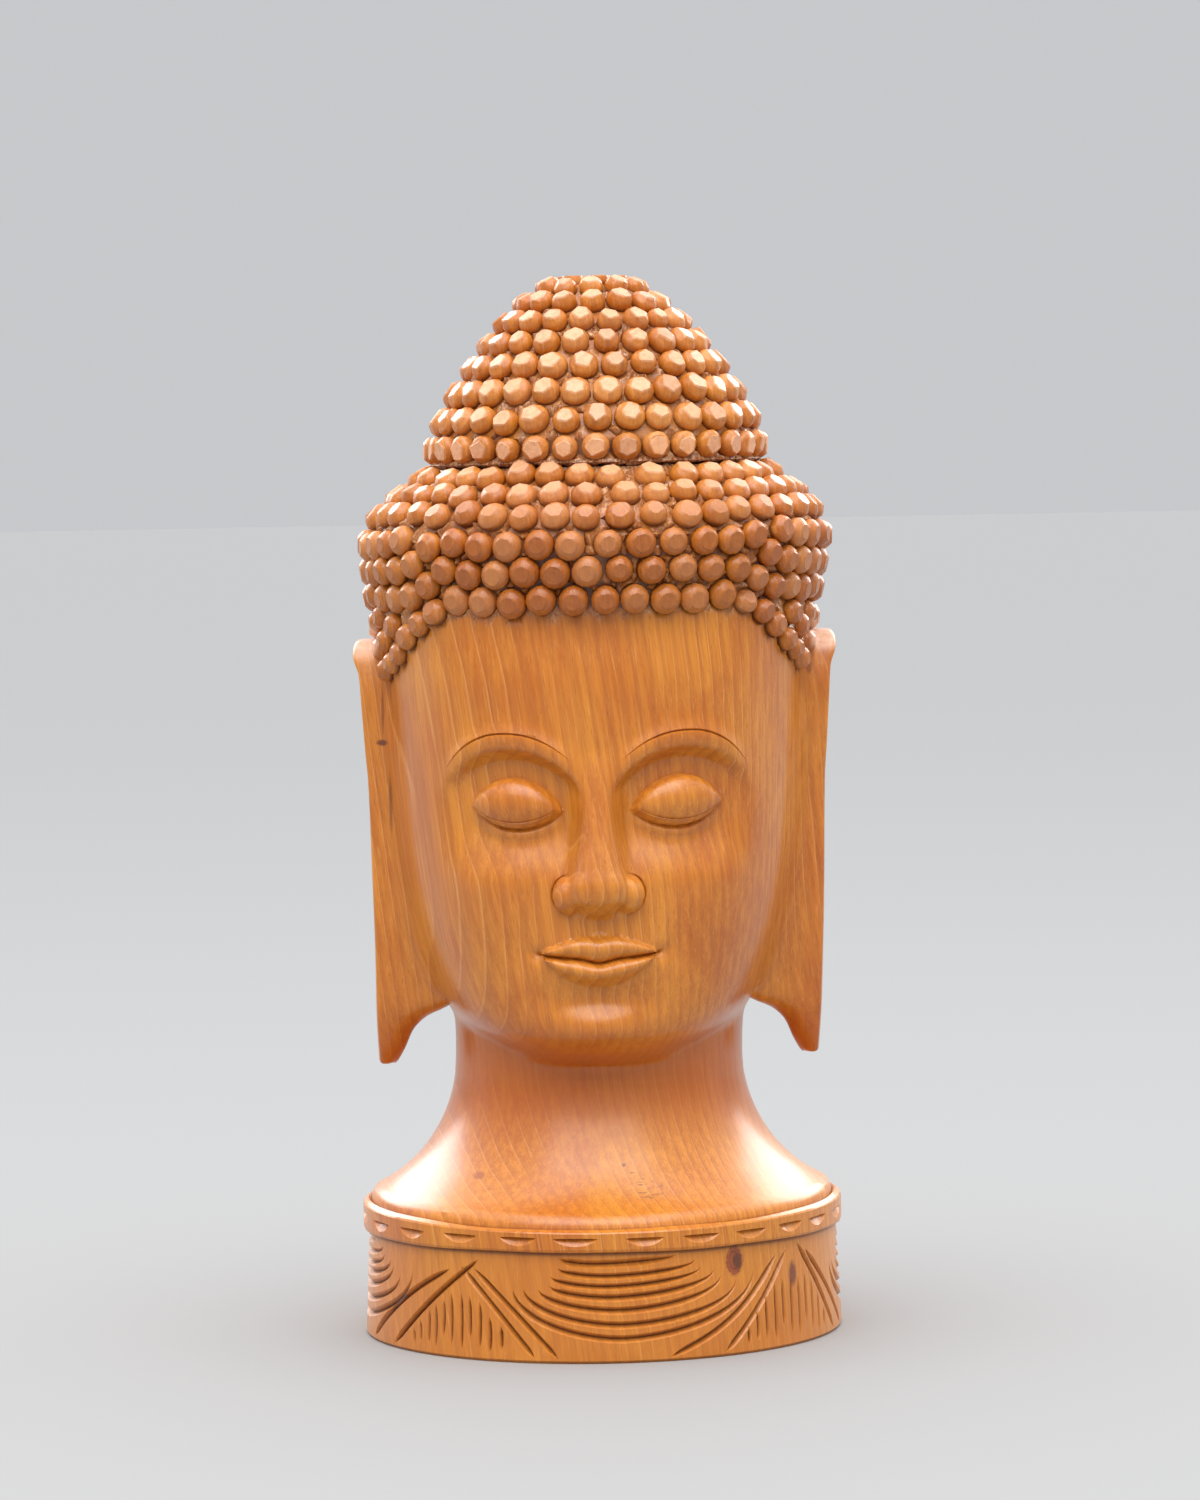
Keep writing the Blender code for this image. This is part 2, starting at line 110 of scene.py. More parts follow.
# ------------------------------------------------------------ the carved form
FRONT = ((52, 20), (54.5, 30), (57, 35.6), (61, 38.4), (67, 39.3), (80, 39.9),
         (95, 40.3), (110, 41.2), (125, 41.3), (138.5, 40.2), (140.5, 41.4))
SIDE = ((56, 19), (60, 25.5), (64, 29.3), (70, 32.4), (80, 35.6), (92, 37.7),
        (105, 38.9), (120, 39.9), (139, 41.2))
BACK = ((64, 20), (70, 26.5), (78, 31.8), (88, 36.2), (100, 39.4), (115, 41.2),
        (130, 41.6), (139, 41.4))
HAIR = ((139, 41.3), (145, 42.4), (150, 43.2), (153, 43.3), (155.8, 42.3),
        (159, 39.6), (162, 36.0), (165.6, 31.4), (167.6, 29.3))

# Face on plain thirds of the height between hairline (138.7) and chin (56.5).
BROW_Z, NOSE_Z, CHIN_Z = 111.3, 83.9, 56.5
EYE_A, EYE_HALF, EYE_Z = 15.9, 9.2, 102.6
MOUTH_Z, MOUTH_HALF = 74.8, 11.6


def brow_line(a):
    return 114.4 - 6.2 * np.abs((a - 16.6) / 13.0) ** 2.2


def lid_mid(a):
    return EYE_Z + 0.05 * (a - EYE_A)


def lid_top(a):
    q = np.clip((a - EYE_A) / EYE_HALF, -1, 1)
    return lid_mid(a) + 5.7 * (1 - q * q) ** 0.72


def lid_low(a):
    q = np.clip((a - EYE_A) / EYE_HALF, -1, 1)
    return lid_mid(a) - 3.2 * (1 - q * q) ** 0.95


def lip_line(a):
    return MOUTH_Z - 0.75 * bell(a, 2.4) + 0.9 * (a / MOUTH_HALF) ** 2


def lip_top(a):
    t = np.clip(a / MOUTH_HALF, 0, 1)
    bow = 3.9 + 0.75 * (1 - bell(a, 1.9)) - 0.2
    return lip_line(MOUTH_HALF * t) * 0 + MOUTH_Z + 0.9 * t ** 2 + bow * (1 - t ** 1.7)


def lip_low(a):
    t = np.clip(a / (MOUTH_HALF - 0.8), 0, 1)
    return MOUTH_Z + 0.9 * t ** 2 - 4.9 * (1 - t ** 2.2) ** 0.8


def face_relief(u, z):
    a = np.abs(u)
    # hollow of the eye under a crisp brow edge
    below = brow_line(a) - z
    hollow = step(-0.1, 2.9, below) * step(88.0, 101.0, z) * (1 - step(22.0, 33.0, a))
    hollow = hollow * step(1.6, 6.6, a)
    d = -3.1 * hollow
    # brow: a soft roll above the edge
    d = d + 0.75 * bell(below + 1.6, 2.2) * step(2.0, 7.0, a) * (1 - step(24.0, 31.0, a))
    # closed lid over the eyeball
    q = (a - EYE_A) / EYE_HALF
    q2 = np.clip(1 - q * q, 0, 1)
    top, low = lid_top(a), lid_low(a)
    mid, half = (top + low) / 2, np.maximum((top - low) / 2, 0.05)
    w = (z - mid) / half
    dome = np.sqrt(q2) * np.sqrt(np.clip(1 - 0.80 * w * w, 0.0, 1)) * 4.0
    soft_top = 1 - step(top, top + 0.45, z)
    soft_low = step(low - 0.4, low, z)
    d = d + np.where(q2 > 0, dome * soft_top * soft_low, 0.0)
    # lower lid
    d = d + 0.95 * bell(z - low + 1.35, 1.05) * np.sqrt(q2) * (z < low + 0.05)
    # nose
    ridge = curve(((81.9, 0.0), (83.0, 1.1), (84.2, 3.7), (86.0, 5.5), (88.4, 6.0),
                   (92.0, 5.2), (98.0, 3.5), (104.0, 1.9), (109.0, 0.8), (113.5, 0.0)), z)
    flat = curve(((83.0, 1.8), (85.5, 2.6), (88.4, 2.9), (92.0, 1.9), (98.0, 1.3),
                  (113.0, 1.2)), z)
    foot = curve(((83.0, 6.0), (88.4, 7.0), (95.0, 6.4), (103.0, 4.9), (113.0, 4.2)), z)
    nose = ridge * (1 - step(flat, foot, a)) * (z > 81.9)
    wing = 1 - ((a - 5.3) / 3.1) ** 2 - ((z - 86.8) / 3.6) ** 2
    wing = 3.6 * np.sqrt(np.clip(wing, 0, 1))
    nose = np.maximum(nose, wing) + 0.25 * bell(nose - wing, 0.8) * (wing > 0)
    nose = nose - 1.5 * bell(a - 3.3, 1.15) * bell(z - 84.2, 0.95)
    d = d + nose
    # fullness of the cheeks, fold beside the mouth
    d = d + 1.1 * bell(a - 21.0, 10.5) * bell(z - 88.0, 13.0)
    d = d - 0.55 * bell(a - 14.6 + 0.12 * (z - 77.0), 2.6) * bell(z - 77.0, 6.0)
    # muzzle round the mouth
    d = d + 0.9 * bell(a, 11.0) * bell(z - 76.0, 8.0)
    # lips
    line, top_e, low_e = lip_line(a), lip_top(a), lip_low(a)
    t = np.clip(a / MOUTH_HALF, 0, 1)
    full = np.sqrt(np.clip(1 - t ** 2.4, 0, 1))
    up = np.clip((z - line) / np.maximum(top_e - line, 0.2), 0, 1)
    dn = np.clip((line - z) / np.maximum(line - low_e, 0.2), 0, 1)
    upper = (z >= line) * (1 - step(top_e - 0.1, top_e + 0.3, z)) * full * (
        0.75 + 1.35 * np.sin(PI * np.clip(1 - up, 0, 1) ** 0.8) * 0.9)
    lower = (z < line) * step(low_e - 0.45, low_e + 0.1, z) * full * (
        0.55 + 1.75 * np.sin(PI * np.clip(dn, 0, 1) ** 0.9))
    d = d + upper + lower
    d = d - 1.1 * bell(z - line, 0.34) * (1 - step(MOUTH_HALF - 0.4, MOUTH_HALF + 0.7, a))
    d = d - 0.8 * bell(a - MOUTH_HALF - 0.2, 1.5) * bell(z - MOUTH_Z - 0.9, 1.5)
    # groove under the nose, hollow under the lip, chin
    d = d - 0.65 * bell(a, 1.25) * step(78.6, 80.0, z) * (1 - step(81.8, 83.4, z))
    d = d - 1.35 * bell(a, 9.5) * bell(z - 66.9, 2.9)
    d = d + 1.9 * bell(a, 9.0) * bell(z - 61.4, 4.6)
    return d


def cove_radius(z):
    q = np.clip((COVE_Z - z) / COVE_R, 0, 1)
    return NECK_R + COVE_R * (1.0 - np.sqrt(np.clip(1.0 - q * q, 0, 1)))


def head_radius(theta, z, relief=True):
    c, s = np.cos(theta), np.abs(np.sin(theta))
    deep = np.where(c >= 0, curve(FRONT, z), curve(BACK, z))
    wide = curve(SIDE, z)
    n = 2.0 + 0.3 * np.maximum(c, 0.0)
    head = ((np.abs(c) / deep) ** n + (s / wide) ** n) ** (-1.0 / n)
    if relief:
        u = 40.0 * theta
        mask = (np.abs(u) < 44.0) & (z < 140.0)
        fade = 1.0 - step(32.0, 44.0, np.abs(u))
        head = head + np.where(mask, face_relief(u, z) * fade, 0.0)
    t = step(139.0, 140.5, z)
    head = head * (1 - t) + curve(HAIR, z) * t
    return larger(head, cove_radius(z), 1.6 * (1 - step(60, 90, z)))


def knot_radius(z):
    outline = np.sqrt(KNOT_SLOPE * np.maximum(0.5, HEIGHT + 1.2 - z))
    slope = KNOT_SLOPE / (2.0 * outline)
    ground = outline - CURL_H * np.sqrt(1.0 + slope * slope) * 0.92
    return np.maximum(np.minimum(ground, 30.4 + 0.2 * (z - 167.6)), 7.8)


# ------------------------------------------------ one skin in (theta, v)
# v runs up the outline. Below the neck and above the crown the outline is the
# same all round; between them v follows the height.
base_line = [(45.5, 0.0), (46.0, 0.55), (45.1, 20.0), (46.0, 20.35), (46.15, 20.75),
             (46.12, 25.15), (45.95, 25.6), (45.7, 25.9), (45.1, 26.1),
             (44.85, 25.95), (44.5, 25.4), (44.3, 26.75)]
flare_z = [27.75 + (NECK_V - 27.75) * i / 40.0 for i in range(41)]
base_line += [(float(cove_radius(z)), z) for z in flare_z]
base_line = np.array(base_line)
base_v = np.concatenate(([0.0], np.cumsum(np.hypot(*np.diff(base_line, axis=0).T))))
V_NECK = float(base_v[-1])
V_CROWN = V_NECK + (CROWN_Z - NECK_V)
crown_r = float(curve(HAIR, CROWN_Z))
knot_line = [(crown_r, CROWN_Z), (29.0, CROWN_Z + 0.15), (28.9, CROWN_Z + 0.55),
             (31.4, CROWN_Z + 0.6), (31.8, CROWN_Z + 0.9), (31.4, CROWN_Z + 1.5)]
knot_line += [(float(knot_radius(z)), z) for z in np.arange(168.2, 200.2, 0.6)]
knot_line += [(8.0, 200.5), (7.5, 200.95), (6.2, 201.2), (4.2, 201.25), (2.75, 201.25),
              (2.5, SAWN_TOP)]
knot_line = np.array(knot_line)
knot_v = V_CROWN + np.concatenate(([0.0], np.cumsum(np.hypot(*np.diff(knot_line, axis=0).T))))
V_TOP = float(knot_v[-1])


def outline(v, z_too=True):
    """Radius and height where the outline is the same all round."""
    v = np.asarray(v, float)
    low = v < V_NECK
    r = np.where(low, np.interp(v, base_v, base_line[:, 0]),
                 np.interp(v, knot_v, knot_line[:, 0]))
    z = np.where(low, np.interp(v, base_v, base_line[:, 1]),
                 np.interp(v, knot_v, knot_line[:, 1]))
    return r, z


def skin(theta, v, relief=True):
    """Points of the ground surface, before the head's shift and lean."""
    theta, v = np.broadcast_arrays(np.asarray(theta, float), np.asarray(v, float))
    theta = (theta + PI) % (2 * PI) - PI
    r, z = outline(v)
    mid = (v >= V_NECK) & (v <= V_CROWN)
    if mid.any():
        zz = NECK_V + (v[mid] - V_NECK)
        r = r.copy()
        z = z.copy()
        r[mid] = head_radius(theta[mid], zz, relief)
        z[mid] = zz
    return np.stack((r * np.sin(theta), -r * np.cos(theta), z), -1)


def frames(theta, v):
    """Unit vectors round, up and out of the smooth form, and its stretch."""
    e = 0.004
    f = 0.35
    a = skin(theta + e, v, False) - skin(theta - e, v, False)
    b = skin(theta, v + f, False) - skin(theta, v - f, False)
    la = np.linalg.norm(a, axis=-1, keepdims=True)
    lb = np.linalg.norm(b, axis=-1, keepdims=True)
    n = np.cross(a, b)
    n /= np.maximum(np.linalg.norm(n, axis=-1, keepdims=True), 1e-12)
    return a / la, b / lb, n, la[..., 0] / (2 * e), lb[..., 0] / (2 * f)


# Even coordinates for the triangles: t grows by distance over radius.
fine_v = np.arange(0.0, V_TOP + 0.05, 0.05)
fine_v[-1] = V_TOP
p0 = skin(np.zeros_like(fine_v) + PI / 2, fine_v, False)
gap_v = np.linalg.norm(np.diff(p0, axis=0), axis=1)
mean_r = np.maximum(np.hypot(p0[:, 0], p0[:, 1]), 2.0)
fine_t = np.concatenate(([0.0], np.cumsum(gap_v / ((mean_r[1:] + mean_r[:-1]) / 2))))
T_TOP = float(fine_t[-1])


def v_to_t(v):
    return np.interp(v, fine_v, fine_t)


def t_to_v(t):
    return np.interp(t, fine_t, fine_v)


def z_to_v(z):
    return V_NECK + (z - NECK_V)


# ------------------------------------------------------------ lines and points
pts_theta, pts_v, pts_h, pts_kind, pts_own = [], [], [], [], []
links = []
KIND_FILL, KIND_LINE, KIND_CURL = 0, 1, 2


def add_points(theta, v, h=None, kind=KIND_LINE, own=None):
    """h is a given height, or nan where the carving functions give it."""
    first = len(pts_theta)
    theta, v = np.atleast_1d(theta), np.atleast_1d(v)
    n = len(theta)
    pts_theta.extend(float(x) for x in theta)
    pts_v.extend(float(x) for x in v)
    pts_h.extend([float("nan")] * n if h is None else [float(x) for x in np.broadcast_to(h, n)])
    pts_kind.extend([kind] * n)
    pts_own.extend([None] * n if own is None else own)
    return list(range(first, first + n))


def add_line(theta, v, closed=False):
    ids = add_points(theta, v)
    links.extend(zip(ids, ids[1:]))
    if closed:
        links.append((ids[-1], ids[0]))
    return ids


def even(points, spacing):
    """Points along a polyline at an even spacing."""
    points = np.asarray(points, float)
    d = np.concatenate(([0.0], np.cumsum(np.hypot(*np.diff(points, axis=0).T))))
    n = max(2, int(math.ceil(d[-1] / spacing)) + 1)
    s = np.linspace(0, d[-1], n)
    return np.stack([np.interp(s, d, points[:, 0]), np.interp(s, d, points[:, 1])], 1), s / d[-1]


# V-cut grooves: paths in local millimetres (round, up), on a reference radius.
grooves = []        # dicts with x, y, half, depth, radius, zone


def groove(path, width, depth, radius, taper=(0.25, 0.25), spacing=1.0, zone="drum"):
    """A cut with pointed ends along a path of (x, y); x is distance round."""
    p, s = even(path, spacing)
    ends = np.minimum(np.clip(s / max(taper[0], 1e-6), 0, 1) ** 0.6,
                      np.clip((1 - s) / max(taper[1], 1e-6), 0, 1) ** 0.6)
    half = np.maximum(width / 2 * ends, 0.0)
    tangent = np.gradient(p, axis=0)
    tangent /= np.linalg.norm(tangent, axis=1, keepdims=True)
    side = np.stack((-tangent[:, 1], tangent[:, 0]), 1)
    grooves.append(dict(p=p, half=half, depth=depth * ends, radius=radius, zone=zone))
    inner = slice(1, -1)
    left, right = p + side * half[:, None], p - side * half[:, None]
    return p, left[inner], right[inner]


def lay(path, radius, v_of):
    path = np.asarray(path)
    return path[:, 0] / radius, v_of(path[:, 1])


def add_groove(path, width, depth, radius, v_of, **more):
    p, left, right = groove(path, width, depth, radius, **more)
    mid = add_line(*lay(p, radius, v_of))
    for edge in (left, right):
        if len(edge):
            th, vv = lay(edge, radius, v_of)
            ids = add_points(th, vv)
            chain = [mid[0]] + ids + [mid[-1]]
            links.extend(zip(chain, chain[1:]))


def groove_depth(x, y, zone):
    """Depth of the deepest cut at each point, in local millimetres."""
    out = np.zeros(len(x))
    for g in grooves:
        if g["zone"] != zone:
            continue
        p, half, depth = g["p"], g["half"], g["depth"]
        lo, hi = p.min(0) - 1.5, p.max(0) + 1.5
        near = np.nonzero((x > lo[0]) & (x < hi[0]) & (y > lo[1]) & (y < hi[1]))[0]
        if not len(near):
            continue
        a, b = p[:-1], p[1:]
        ab = b - a
        q = np.stack((x[near], y[near]), 1)[:, None, :]
        s = np.clip(((q - a) * ab).sum(-1) / (ab * ab).sum(-1), 0, 1)
        d = np.linalg.norm(q - (a + s[..., None] * ab), axis=-1)
        k = d.argmin(1)
        rows = np.arange(len(near))
        s, d = s[rows, k], d[rows, k]
        w = half[k] * (1 - s) + half[k + 1] * s
        deep = depth[k] * (1 - s) + depth[k + 1] * s
        cut = deep * np.clip(1 - d / np.maximum(w, 1e-3), 0, 1)
        out[near] = np.maximum(out[near], cut)
    return out


# rings where the outline has an edge
ring_count = 0


def ring(v, n):
    global ring_count
    ring_count += 1
    th = -PI + 2 * PI * (np.arange(n) + 0.25 + 0.5 * (ring_count % 2)) / n
    th = th + rng.normal(0, 0.02, n) * 2 * PI / n
    return add_line(th, np.full(n, v), closed=True)


# ------------------------------------------------------ base: drum and band
DRUM_R = 45.6


def drum_v(y):
    """Height on the drum to v."""
    return np.interp(y, base_line[:3, 1], base_v[:3])


def arc(left, low, right, n=24):
    """A hanging curve through its two ends and its lowest point."""
    (x0, y0), (x1, y1), (x2, y2) = left, low, right
    out = []
    for i in range(n + 1):
        s = i / n
        if s <= 0.5:
            k = 1 - s * 2
            out.append((x1 + (x0 - x1) * math.sin(k * PI / 2) ** 1.05,
                        y1 + (y0 - y1) * (1 - math.cos(k * PI / 2)) ** 0.92))
        else:
            k = s * 2 - 1
            out.append((x1 + (x2 - x1) * math.sin(k * PI / 2) ** 1.05,
                        y1 + (y2 - y1) * (1 - math.cos(k * PI / 2)) ** 0.92))
    return out


def bowed(a, b, bow, n=14):
    """A nearly straight cut from a to b, bowed to one side."""
    a, b = np.array(a, float), np.array(b, float)
    d = b - a
    nrm = np.array((-d[1], d[0])) / np.linalg.norm(d)
    return [tuple(a + d * s + nrm * bow * math.sin(PI * s)) for s in np.linspace(0, 1, n)]


def deg(t):
    return math.radians(t) * DRUM_R


SWAGS = (((-10.5, 19.3), (-2.0, 18.35), (17.7, 19.6)), ((-11.0, 17.7), (1.2, 16.2), (22.5, 18.6)),
         ((-12.4, 16.2), (1.2, 14.2), (24.1, 17.2)), ((-12.6, 14.5), (2.4, 12.2), (27.5, 16.5)),
         ((-15.4, 13.8), (4.0, 9.8), (29.2, 15.4)), ((-19.1, 13.8), (4.6, 7.1), (33.0, 14.0)),
         ((-21.9, 13.6), (4.6, 4.5), (38.5, 15.5)))
for quarter in range(4):
    turn = quarter * 90.0
    wob = rng.normal(0, 1, 200)
    k = 0

    def jit(amount):
        global k
        k += 1
        return float(np.clip(wob[k % 200], -2, 2)) * amount * (0.3 if quarter == 0 else 1.0)

    for i, (l, m, r) in enumerate(SWAGS):
        path = arc((deg(turn + l[0] + (4.0 if quarter % 2 else 0.0) + jit(0.5)), l[1]),
                   (deg(turn + m[0] + jit(0.6)), m[1] + jit(0.12)),
                   (deg(turn + r[0] + jit(0.6)), min(r[1], 19.4)))
        add_groove(path, 1.4 + 0.15 * (i > 2) + jit(0.05), 0.95 + jit(0.04), DRUM_R, drum_v,
                   taper=(0.10, 0.25), spacing=1.15)
    # chevron: two arms on the right of the swag, two on the left of the next
    if quarter % 2 == 0:
        arms = (((46.4, 17.8), (15.6, 0.9), 2.1, 1.25), ((49.8, 18.3), (29.6, 0.8), 0.7, 1.2),
                ((54.0, 19.2), (72.6, 0.9), 0.1, 1.15), ((57.8, 17.6), (80.2, 0.9), 0.1, 1.1))
    else:
        arms = (((59.6, 18.7), (29.9, 0.9), -0.35, 1.15), ((50.6, 16.6), (18.6, 1.1), -0.9, 1.2),
                ((54.2, 17.4), (73.4, 0.8), 0.3, 1.15), ((58.0, 17.2), (79.4, 0.8), 0.3, 1.15))
    for a, b, bow, wide in arms:
        path = bowed((deg(turn + a[0] + jit(0.4)), a[1]), (deg(turn + b[0] + jit(0.4)), b[1]), bow)
        add_groove(path, wide + 0.2 + jit(0.04), 0.95, DRUM_R, drum_v, taper=(0.14, 0.10), spacing=1.2)
    # upright strokes inside the chevron
    for j in range(11):
        if quarter % 2 == 0:
            t = 36.4 + j * 2.95 + jit(0.2)
            roof = min(0.8 + (t - 29.6) * 0.866, 0.9 + (72.6 - t) * 0.98, 14.6)
        else:
            t = 38.6 + j * 2.62 + jit(0.2)
            roof = min(0.9 + (t - 29.9) * 0.6, 0.8 + (73.4 - t) * 0.865, 13.6)
        roof = roof - 1.5 + jit(0.35)
        foot = 1.4 + 0.7 * abs(math.sin(j * 2.1)) + (1.8 if j in (4, 7) else 0.0)
        if roof - foot > 2.0:
            x = deg(turn + t)
            add_groove([(x + jit(0.1), roof), (x + 0.1, (roof + foot) / 2), (x + jit(0.12), foot)],
                       0.95, 0.62, DRUM_R, drum_v, taper=(0.25, 0.2), spacing=1.3)

# half-moon chips round the band
BAND_CHIPS = 25
chips = []
band_y = 22.75


def band_v(y):
    return np.interp(y, base_line[3:9, 1], base_v[3:9])


chip_angles = (-79.5, -65.8, -51.1, -35.4, -20.0, -6.2, 9.9, 23.6, 37.4, 50.5, 62.7, 76.5)
chip_list = [(t, 0.0) for t in chip_angles]
for j in range(13):
    chip_list.append((76.5 + (280.5 - 76.5) * (j + 1) / 14.0 + float(rng.normal(0, 0.7)), 0.0))
for t, _ in chip_list:
    wide = 3.85 + float(rng.normal(0, 0.18))
    deepest = 1.95 + float(rng.normal(0, 0.08))
    lift = float(rng.normal(0, 0.1)) + 0.65
    cx = math.radians(t) * 46.1
    chips.append((cx, band_y + lift, wide, deepest))
    xs = np.linspace(-wide, wide, 11)
    arc_y = -deepest * (1 - np.abs(xs / wide) ** 2.1)
    top = add_line((cx + xs) / 46.1, band_v(band_y + lift + 0.16 * (1 - np.abs(xs / wide) ** 4)))
    low_ids = add_points((cx + xs[1:-1]) / 46.1, band_v(np.full(9, band_y + lift)))
    chain = [top[0]] + low_ids + [top[-1]]
    links.extend(zip(chain, chain[1:]))
    arc_ids = add_points((cx + xs[1:-1]) / 46.1, band_v(band_y + lift + arc_y[1:-1]))
    chain = [top[0]] + arc_ids + [top[-1]]
    links.extend(zip(chain, chain[1:]))
    xs2 = xs[1:-1] * 0.93
    add_line((cx + xs2) / 46.1, band_v(np.full(9, band_y + lift - 0.27)))
    mid_ids = add_points((cx + xs[2:-2]) / 46.1, band_v(band_y + lift + 0.45 * arc_y[2:-2]))


def chip_depth(x, y):
    """Depth of the half-moon chips, and the painted shade along each chip's top wall."""
    out, shade = np.zeros(len(x)), np.zeros(len(x))
    lap = 2 * PI * 46.1
    for cx, cy, wide, deepest in chips:
        dx = (x - cx + lap / 2) % lap - lap / 2
        dy = y - cy
        inside = np.abs(dx) < wide
        rim = -deepest * (1 - np.abs(dx / wide) ** 2.1)
        room = np.sqrt(np.clip(1 - np.abs(dx / wide) ** 2, 0, 1))
        scoop = np.clip((dy - rim) / np.maximum(-rim, 1e-3), 0, 1)
        wall = np.clip(1 - dy / np.maximum(0.16 * (1 - np.abs(dx / wide) ** 4), 1e-3), 0, 1)
        deep = 0.92 * room * np.where(dy <= 0, scoop, wall)
        inside &= (dy > rim) & (dy < 0.2)
        out = np.maximum(out, np.where(inside, deep, 0.0))
        shade = np.maximum(shade, np.where(inside & (dy < 0.03), 0.9 * room * step(-0.26, -0.02, dy), 0.0))
    return out, shade


RINGS = 192
for i, n in ((0, RINGS), (1, RINGS), (2, RINGS), (3, RINGS), (4, RINGS), (5, RINGS),
             (6, RINGS), (8, RINGS), (9, RINGS), (10, RINGS), (11, RINGS)):
    ring(float(base_v[i]), n)
ring(float(drum_v(19.3)), RINGS)
for i in range(6):
    ring(float(knot_v[i]) if i else V_CROWN, 160)
ring(V_TOP - 1.2, 14)
top_ring = ring(V_TOP, 14)

# --------------------------------------------------------------- face lines
def face_v(z):
    return z_to_v(z)


def on_face(a, z, side):
    return side * np.asarray(a) / 40.0, z_to_v(np.asarray(z))


for side in (-1, 1):
    # brow edge, and a fine cut just above it
    a = np.linspace(3.0, 29.0, 34)
    add_line(*on_face(a, brow_line(a) + 0.1, side))
    add_line(*on_face(a[1:-1], brow_line(a[1:-1]) - 2.9, side))
    a = np.linspace(4.5, 29.5, 30)
    add_groove(np.stack((side * a, brow_line(a) + 2.5 - 0.05 * np.maximum(a - 20, 0)), 1),
               0.62, 0.42, 40.0, face_v, taper=(0.3, 0.3), spacing=0.9, zone="face")
    # lid edges
    q = np.sin(np.linspace(-PI / 2, PI / 2, 26))
    a = EYE_A + EYE_HALF * q
    add_line(*on_face(a, lid_top(a), side))
    add_line(*on_face(a[1:-1], lid_top(a[1:-1]) + 0.45, side))
    add_line(*on_face(a[1:-1], lid_low(a[1:-1]), side))
    add_line(*on_face(a[1:-1], lid_low(a[1:-1]) - 0.4, side))
    b = EYE_A + (EYE_HALF - 0.9) * np.linspace(-1, 1, 20)
    add_groove(np.stack((side * b, lid_low(b) + 1.0), 1), 0.42, 0.26, 40.0, face_v,
               taper=(0.25, 0.25), spacing=0.9, zone="face")
    # wing of the nose
    ang = np.linspace(math.radians(-38), math.radians(98), 14)
    add_groove(np.stack((side * (5.3 + 3.3 * np.cos(ang)), 86.8 + 3.8 * np.sin(ang)), 1),
               0.7, 0.35, 40.0, face_v, taper=(0.4, 0.4), spacing=0.6, zone="face")
    # lip edges
    a = np.linspace(0.0 if side == 1 else 0.35, MOUTH_HALF, 20)
    add_line(*on_face(a, lip_top(a), side))
    a = np.linspace(0.0 if side == 1 else 0.35, MOUTH_HALF - 0.9, 18)
    add_line(*on_face(a, lip_low(a), side))
a = np.linspace(-MOUTH_HALF, MOUTH_HALF, 44)
add_line(a / 40.0, z_to_v(lip_line(np.abs(a))))

# --------------------------------------------------------------------- ears
EAR_TOP, EAR_FOOT = 133.8, 51.6
EAR_OUT = ((EAR_FOOT, 42.2), (61, 42.7), (71, 42.9), (88, 43.3), (106, 43.7),
           (113, 44.2), (121, 44.7), (127, 45.1), (131, 46.2), (EAR_TOP, 45.9))
EAR_IN = ((EAR_FOOT, 39.1), (54.5, 37.5), (58.5, 35.7), (61.2, 33.0), (63, 30.0),
          (66, 28.2))
EAR_FRONT = ((EAR_FOOT, -2.0), (56, -4.2), (64, -6.5), (80, -7.6), (104, -8.4),
             (122, -9.2), (130, -7.7), (EAR_TOP, -4.8))
EAR_BACK_Y = ((EAR_FOOT, 3.5), (56, 5.8), (64, 7.0), (80, 7.5), (104, 10.0),
              (122, 12.0), (130, 11.0), (EAR_TOP, 7.5))

# ------------------------------------------------------------------- curls
HEAD_ROWS = ((141.6, 45, 2.7), (146.9, 45, -1.6), (152.0, 44, 3.1), (156.7, 42, -2.0),
             (160.6, 39, -2.6), (164.0, 34, -4.1))
KNOT_ROWS = ((169.75, 34, 0.0, 2.80), (174.9, 31, 0.6, 3.02), (180.1, 28, 5.0, 3.05), (184.9, 25, -5.0, 3.05),
             (189.3, 22, 6.7, 3.05), (193.4, 20, -7.0, 2.98), (197.0, 15, 0.5, 2.90), (199.8, 11, 0.5, 2.6))
ROW_PITCH = 5.25


def hair_edge(theta):
    """Lowest height of the hair at an angle."""
    a = np.degrees(np.abs(theta))
    front = HAIRLINE - 0.3 - 12.6 * step(36.0, 77.0, a)
    back = 92.0 - 11.0 * step(96.0, 130.0, a)
    return np.where(a < 88.0, front, np.where(a > 99.0, back, 131.0))


candidates = []     # theta, v, wanted radius
edge_lane = 0
# curls down each temple, along the edge and then filling up to the rows
for side in (-1, 1):
    for lane in range(3):     # the first lane stays on the edge
        deg_at = (42.3 if side > 0 else 44.6) + 3.0 * lane
        while deg_at < 84.0:
            here = math.radians(deg_at)
            z = float(hair_edge(np.array(here))) + 2.4 + 4.5 * lane
            if z < 141.0 - 1.2 * lane:
                candidates.append((side * here, float(z_to_v(z)), 2.5 - 0.008 * (deg_at - 42) + 0.001 * lane))
                if lane == 0:
                    edge_lane += 1
            fall = float(hair_edge(np.array(here + 0.05)) - hair_edge(np.array(here))) / (0.05 * 42.0)
            deg_at += math.degrees(4.75 / 42.0) / math.hypot(1.0, fall)
for z, n, start in HEAD_ROWS:
    for j in range(n):
        th = math.radians(start) + 2 * PI * j / n
        candidates.append((th, float(z_to_v(z)), 2.84 if z < 158.0 else 2.96))
for z, n, start, size in KNOT_ROWS:
    vz = float(np.interp(z, knot_line[:, 1], knot_v))
    for j in range(n):
        th = math.radians(start) + 2 * PI * j / n
        candidates.append((th, vz, size))
